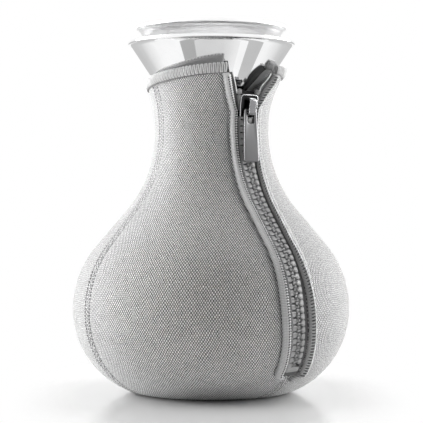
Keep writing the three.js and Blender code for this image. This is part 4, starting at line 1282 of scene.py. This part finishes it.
def collar_seal():
    """Sleeve with two lips against the flask's bore and a flange over its mouth; rises are from the waist."""
    inside = throat_radius + GAP

    def bore(rise):
        return neck_inside(rise, -glass_in) - GAP

    def valley(rise):
        return min(bore(rise) - SEAL_LIP / 2, inside + SEAL_WALL / 2), rise

    lip_top = flask_lip[1] - waist_height + GAP
    flange = neck_inside(MOUTH_RISE, -glass_out) - GAP
    foot, step, top = SEAL_INSET - THROAT_DROP, MOUTH_RISE - SEAL_STEP, lip_top + SEAL_LIP
    profile = [(inside, foot), valley(foot)]
    for rise in (0, MOUTH_RISE / 3):
        wide = bore(rise)
        profile += [valley(rise - SEAL_LIP), (wide - 0.25, rise - 0.35), (wide, rise)]
        profile += [(wide - 0.25, rise + 0.35), valley(rise + SEAL_LIP)]
    profile += [(bore(step), step), (bore(step), lip_top), (flange - 0.3, lip_top), (flange, lip_top + 0.3)]
    profile += [(flange, top - 0.3), (flange - 0.3, top), (cone_radius(waist_height + top, -GAP), top)]
    profile += [(inside, CONE_RISE)]
    shape = turned([(radius, waist_height + rise) for radius, rise in profile])
    make("collar_seal", shape, [RUBBER], "collar", 40)


def strainer_rim():
    def flange_radius(height, inward=0.0):
        return cone_radius(height, STEEL + GAP + inward)

    bend_out = cone_foot + (skirt_outer - flange_radius(cone_foot)) / lean
    bend_in = cone_foot + (skirt_inner - flange_radius(cone_foot, STRAINER_WALL)) / lean
    out_top, in_top = flange_radius(rim_top), flange_radius(rim_top, STRAINER_WALL)
    profile = wall_end(skirt_inner, skirt_outer, skirt_foot, 1, 0.2)
    profile += bend((skirt_outer, skirt_foot), (skirt_outer, bend_out), (out_top, rim_top), 1.5)
    profile += [(out_top - 0.1, rim_top - 0.15), (out_top - 0.3, rim_top), (in_top + 0.2, rim_top)]
    profile += [(in_top, rim_top - 0.2)]
    profile += bend((in_top, rim_top), (skirt_inner, bend_in), (skirt_inner, skirt_foot), 1.5)
    make("strainer_rim", turned(profile), [MIRROR], "strainer")


def basket():
    """Tube with rows of round-ended slots."""
    top, foot = skirt_foot + STRAINER_SKIRT - GAP, basket_foot + BASE_THICKNESS + GAP
    pitch = (top - STRAINER_SKIRT - foot) / SLOT_ROWS
    tall = min(SLOT_HEIGHT, pitch - STRAINER_WALL * 2)
    column = 2 * PI / SLOT_COLUMNS
    wide, steps = column * 0.36, 6
    end_round = wide / 2 * basket_outer
    middles = [foot + pitch * (row + 0.5) for row in range(SLOT_ROWS)]
    ends = [tall / 2 - end_round * (1 - cos(k * PI / 8)) for k in range(5)]
    slot_levels = {middle + sign * end for middle in middles for sign in (-1, 1) for end in ends}
    levels = sorted({foot, top} | slot_levels)

    def half_open(z):
        for distance in (abs(z - middle) for middle in middles):
            if distance <= tall / 2 + TINY:
                inside = max(0, distance - (tall / 2 - end_round))
                return wide / 2 * sqrt(max(0, 1 - (inside / end_round) ** 2))
        return 0.0

    def at(level, c, k, face):
        return ((level * SLOT_COLUMNS + c) * (steps + 1) + k) * 2 + face

    points, faces = [], []
    for z in levels:
        opening = half_open(z)
        for c in range(SLOT_COLUMNS):
            for k in range(steps + 1):
                angle = column * c + opening + (column - 2 * opening) * k / steps
                points += [(r * cos(angle), r * sin(angle), z) for r in (basket_inner, basket_outer)]
    last = len(levels) - 1
    for c in range(SLOT_COLUMNS):
        for i in range(last):
            for k in range(steps):
                around = ((i, k), (i, k + 1), (i + 1, k + 1), (i + 1, k))
                for face, order in ((1, 1), (0, -1)):
                    faces.append(tuple(at(level, c, step, face) for level, step in around[::order]))
            if half_open(levels[i]) > TINY or half_open(levels[i + 1]) > TINY:
                for k, order in ((0, 1), (steps, -1)):
                    quad = (at(i, c, k, 0), at(i, c, k, 1), at(i + 1, c, k, 1), at(i + 1, c, k, 0))
                    faces.append(quad[::order])
        for k in range(steps):
            for i, order in ((0, 1), (last, -1)):
                quad = (at(i, c, k, 0), at(i, c, k + 1, 0), at(i, c, k + 1, 1), at(i, c, k, 1))
                faces.append(quad[::order])
    shape = Shape().add(points, faces)
    weld(make("strainer_basket", shape, [MIRROR], "strainer", 40))


def weld(piece):
    """Joins the points that meet along the edges of the grid's parts."""
    mesh = bmesh.new()
    mesh.from_mesh(piece.data)
    bmesh.ops.remove_doubles(mesh, verts=mesh.verts, dist=1e-6)
    bmesh.ops.dissolve_degenerate(mesh, edges=mesh.edges, dist=1e-7)
    mesh.to_mesh(piece.data)
    mesh.free()


def strainer_base():
    inside, wall = basket_inner - GAP, STRAINER_WALL
    foot, floor, top = basket_foot, basket_foot + BASE_THICKNESS, basket_foot + BASE_THICKNESS * 4
    profile = [(0, foot), (basket_inner - 3, foot), (basket_inner, foot + 0.05)]
    profile += [(basket_outer - 0.2, foot + 0.3), (basket_outer, foot + wall), (basket_outer, floor)]
    profile += [(inside, floor)]
    profile += wall_end(inside, inside - wall, top, -1, 0.2)
    profile += [(inside - wall, floor + 0.6), (inside - wall - 0.6, floor), (0, floor)]
    make("strainer_base", turned(dense(profile, 3), 96), [MIRROR], "strainer", 40)


def lid_cup():
    hole, bowl_floor = SCREW_SHANK + GAP, lid_floor + STEEL
    rim = rolled(lid_radius(lid_top - ROLL, STEEL / 2), lid_top - ROLL)
    outer = [(hole, lid_floor)] + bend((hole, lid_floor), (lid_radius(lid_floor), lid_floor), rim[0], 2) + rim
    bowl = bend(rim[-1], (lid_radius(bowl_floor, STEEL), bowl_floor), (hole, bowl_floor), 3)
    shape = turned_sheet(dense(outer), dense([rim[-1]] + bowl + [(hole, bowl_floor)])[1:])
    make("lid_cup", shape, [LID_STEEL, BOWL_STEEL], "lid", 60)


def lid_plug():
    hole, hole_foot = SCREW_SHANK + GAP, plug_top - SCREW_LENGTH
    wide, groove = plug_radius, plug_radius - PLUG_GROOVE
    seat, seat_top = cone_radius(rim_top, STEEL + GAP), plug_flange + PLUG_FLANGE
    head = min(seat, lid_radius(lid_floor) - PLUG_CHAMFER)
    ring_top = ring_foot + RING_HEIGHT
    profile = [(0, plug_foot), (wide - PLUG_CHAMFER, plug_foot), (wide - 0.3, plug_foot + 0.3)]
    profile += [(wide, plug_foot + PLUG_CHAMFER), (wide, ring_foot - 0.15), (wide - 0.15, ring_foot)]
    profile += [(groove, ring_foot), (groove, ring_top), (wide, ring_top), (wide, plug_flange)]
    profile += [(seat - 0.4, plug_flange), (seat, plug_flange + 0.4), (seat, seat_top - 0.5)]
    profile += [(seat - 0.5, seat_top), (head, plug_top), (hole, plug_top), (hole, hole_foot), (0, hole_foot)]
    make("lid_plug", turned(profile), [PLUG], "lid", 40)


def lid_seal():
    inside, lip = plug_radius - PLUG_GROOVE + GAP, basket_inner - GAP
    foot, top = ring_foot + GAP, ring_foot + RING_HEIGHT - GAP
    quarter = (top - foot) / 4
    profile = [(inside, foot), (plug_radius, foot)]
    for k in (1, 3):
        middle = foot + k * quarter
        profile += [(lip - 0.12, middle - 0.25), (lip, middle), (lip - 0.12, middle + 0.25)]
        profile += [(plug_radius, middle + quarter)]
    make("lid_seal", turned(profile + [(inside, top)]), [RUBBER], "lid", 40)


def lid_screw():
    """Domed screw with grooves for a thread and a hexagonal socket."""
    under, foot = lid_floor + STEEL + GAP, plug_top - SCREW_LENGTH + GAP
    crown, sides, turns = under + SCREW_CROWN, 48, 9
    rings = [(SCREW_SHANK * 0.6, foot), (SCREW_SHANK, foot + 0.8)]
    for k in range(turns):
        low = foot + 0.8 + (SCREW_LENGTH - 3) * k / turns
        rings += [(SCREW_SHANK, low + 0.1), (SCREW_SHANK - 0.25, low + 0.45), (SCREW_SHANK, low + 0.8)]
    rings += [(SCREW_SHANK, under), (SCREW_HEAD - 0.2, under), (SCREW_HEAD, under + 0.2)]
    dome = [(1, 0.4), (0.93, 0.7), (0.75, 0.92), (0.55, 1)]
    rings += [(SCREW_HEAD * wide, under + SCREW_CROWN * rise) for wide, rise in dome]
    loops = [circle(radius, sides, z) for radius, z in rings]
    corner, half = PI / 3, PI / 6
    hexagon = [cos(half) / cos(2 * PI * k / sides % corner - half) for k in range(sides)]
    for radius, level in ((1.75, crown), (1.6, crown - 0.2), (1.6, under + 0.4)):
        ring = circle(radius, sides, level)
        loops.append([(x * reach, y * reach, z) for (x, y, z), reach in zip(ring, hexagon)])
    make("lid_screw", loft(Shape(), loops), [NICKEL], "lid", 40)


def steel_and_glass():
    flask()
    collar()
    collar_seal()
    strainer_rim()
    basket()
    strainer_base()
    lid_cup()
    lid_plug()
    lid_seal()
    lid_screw()


# ---- Studio, in metres and degrees; azimuth 0 is the camera's side, 90 its right

FLOOR_RINGS, FLOOR_SIDES, FLOOR_LEVEL, CARD_LEVEL = (0.2, 0.5, 1.5, 4, 12), 96, -0.0002, 0.0004
FLOOR_NEAR, FLOOR_FAR = 0.125, 0.2  # where the floor starts to run out, and where it is white
FLOOR_ACROSS, FLOOR_DEEP = 1.75, 0.8  # how fast it runs out sideways and towards the camera
# The floor seen by the camera and metal is darker than the one that bounces light: painted shade.
FLOOR_SHADED_TONES, FLOOR_BOUNCE, AMBIENT = (0.61, 0.64), 0.9, 0.12
CARD_STEPS = 8
# Tones of the glowing edge cards: painted reflections in the steel.
EDGE_TONES = [(100, 1), (118, 0.85), (130, 0.66), (145, 0.6), (165, 0.58)]
CAMERA_PLACE, SENSOR, LENS = (0, -0.873, 0.1045), 36, 127.6


def seen_ray(tree):
    """1 for rays from the camera, from metal and through glass."""
    path = tree.nodes.new("ShaderNodeLightPath")
    seen = path.outputs["Is Camera Ray"]
    for name in ("Is Glossy Ray", "Is Transmission Ray"):
        either = tree.nodes.new("ShaderNodeMath")
        either.operation = "MAXIMUM"
        tree.links.new(seen, either.inputs[0])
        tree.links.new(path.outputs[name], either.inputs[1])
        seen = either.outputs[0]
    return seen


def studio_floor():
    """Glossy pale acrylic that runs out into the white background; the camera and metal see it darker than
    the tone that bounces light, as painted shade.
    """
    n = Nodes("studio_floor")
    cloud = n.noise(n.solid(), 6.0, 2.0, 0.5)
    seen = seen_ray(n.tree)
    # Painted shade: rays from the camera, metal and glass see the darker floor tones, while light bounces off
    # the paler one.
    colour = n.mix(seen, FLOOR_BOUNCE, n.mix(cloud, *FLOOR_SHADED_TONES))
    n.set(Base_Color=colour, Roughness=n.ramp(cloud, 0.3, 0.7, 0.1, 0.13))
    x, y = n.parts(n.solid())[:2]
    across, deep = (n.math("POWER", n.times(*pair), 2.0) for pair in ((x, FLOOR_ACROSS), (y, FLOOR_DEEP)))
    far = n.ramp(n.math("SQRT", n.plus(across, deep)), FLOOR_NEAR, FLOOR_FAR, 0, 1, "SMOOTHSTEP")
    n.blend_shaders(n.times(far, seen), n.shader, n.node("Emission"))
    points = [(0, 0, 0)] + flat(circle(radius, FLOOR_SIDES) for radius in FLOOR_RINGS)
    faces = [(0, 1 + k, 1 + (k + 1) % FLOOR_SIDES) for k in range(FLOOR_SIDES)]
    faces += [tuple(1 + k for k in (a, d, c, b)) for a, b, c, d in grid(len(FLOOR_RINGS), FLOOR_SIDES)]
    mesh = bpy.data.meshes.new("studio_floor")
    mesh.from_pydata(points, [], faces)
    mesh.materials.append(n.material)
    floor = placed("studio_floor", mesh)
    floor.location.z = FLOOR_LEVEL


def card(name, near, far, stops):
    """Card on the floor that glows with its tone and that only the steel reflects, clear from below: a
    painted reflection; stops list (azimuth, tone).
    """
    n = Nodes(name)
    reflected_glow = n.fed(n.node("Emission"), Color=n.node("Attribute", attribute_name="tone").outputs["Fac"])
    n.blend_shaders(n.node("NewGeometry").outputs["Backfacing"], reflected_glow, n.node("BsdfTransparent"))
    n.tree.nodes.remove(n.shader)
    places = [stops[0]]
    for (a, tone_a), (b, tone_b) in zip(stops, stops[1:]):
        shares = [k / CARD_STEPS for k in range(1, CARD_STEPS + 1)]
        places += [(a + (b - a) * share, tone_a + (tone_b - tone_a) * share) for share in shares]
    angles, tones = [radians(azimuth) for azimuth, _ in places], [tone for _, tone in places]
    points = [(radius * sin(a), -radius * cos(a), CARD_LEVEL) for radius in (near, far) for a in angles]
    count = len(angles)
    mesh = bpy.data.meshes.new(name)
    mesh.from_pydata(points, [], [(k, count + k, count + k + 1, k + 1) for k in range(count - 1)])
    mesh.attributes.new("tone", "FLOAT", "POINT").data.foreach_set("value", tones * 2)
    mesh.materials.append(n.material)
    sheet = placed(name, mesh)
    for kind in ("camera", "diffuse", "shadow", "transmission"):
        setattr(sheet, f"visible_{kind}", False)


def world():
    """White to the camera, to metal and to glass; a lower even light on the object."""
    scene_world = bpy.data.worlds.new("studio")
    bpy.context.scene.world = scene_world
    scene_world.use_nodes = True
    tree = scene_world.node_tree
    background = tree.nodes["Background"]
    strength = tree.nodes.new("ShaderNodeMapRange")
    strength.inputs["To Min"].default_value = AMBIENT
    strength.inputs["To Max"].default_value = 1.0
    tree.links.new(seen_ray(tree), strength.inputs["Value"])
    tree.links.new(strength.outputs[0], background.inputs["Strength"])
    background.inputs["Color"].default_value = (1, 1, 1, 1)


def softbox(name, azimuth, elevation, distance, size, power, aim=(0, 0, 0.1), beam=180, mirrored=True):
    """Square lamp round the object; beam is the angle its grid lets out."""
    light = bpy.data.lights.new(name, "AREA")
    light.shape = "RECTANGLE"
    light.size, light.size_y, light.energy, light.spread = size, size, power, radians(beam)
    lamp = placed(name, light)
    a, e = radians(azimuth), radians(elevation)
    aim = Vector(aim)
    lamp.location = aim + distance * Vector((sin(a) * cos(e), -cos(a) * cos(e), sin(e)))
    lamp.rotation_euler = (aim - lamp.location).to_track_quat("-Z", "Y").to_euler()
    lamp.visible_glossy = mirrored


def camera():
    lens = bpy.data.cameras.new("camera")
    lens.sensor_width, lens.lens = SENSOR, LENS
    lens.clip_start, lens.clip_end = 0.01, 100
    view = placed("camera", lens)
    view.location = CAMERA_PLACE
    view.rotation_euler = (PI / 2, 0, 0)
    bpy.context.scene.camera = view


def studio():
    studio_floor()
    world()
    softbox("softbox_left", -98, 18, 0.95, 0.9, 22.2)
    softbox("softbox_right", 108, 18, 0.95, 0.9, 20.6)
    softbox("softbox_top", -25, 78, 1.1, 0.6, 2.4, mirrored=False)
    softbox("softbox_neck", -36, 4, 0.7, 0.1, 0.009, (0, 0, 0.132), 14, False)
    # The cards glow, and only metal sees them: painted grey reflections in the steel, and with the white card
    # a painted light reflection.
    card("card_left", 0.09, 0.19, [(-55, 0.45), (-30, 0.45)])
    card("card_middle", 0.09, 0.3, [(-30, 0.69), (20, 0.71), (50, 0.92)])
    card("card_right", 0.1, 0.26, [(64, 0.57), (90, 0.57)])
    card("card_edge_right", 0.2, 4, EDGE_TONES)
    card("card_edge_left", 0.2, 4, [(-azimuth, tone) for azimuth, tone in reversed(EDGE_TONES)])
    card("card_white_left", 0.12, 0.34, [(-99, 1), (-58, 1)])
    camera()
    bpy.context.scene.view_settings.view_transform = "Standard"


jacket()
base_panel()
hem()
zip_pieces()
steel_and_glass()
studio()
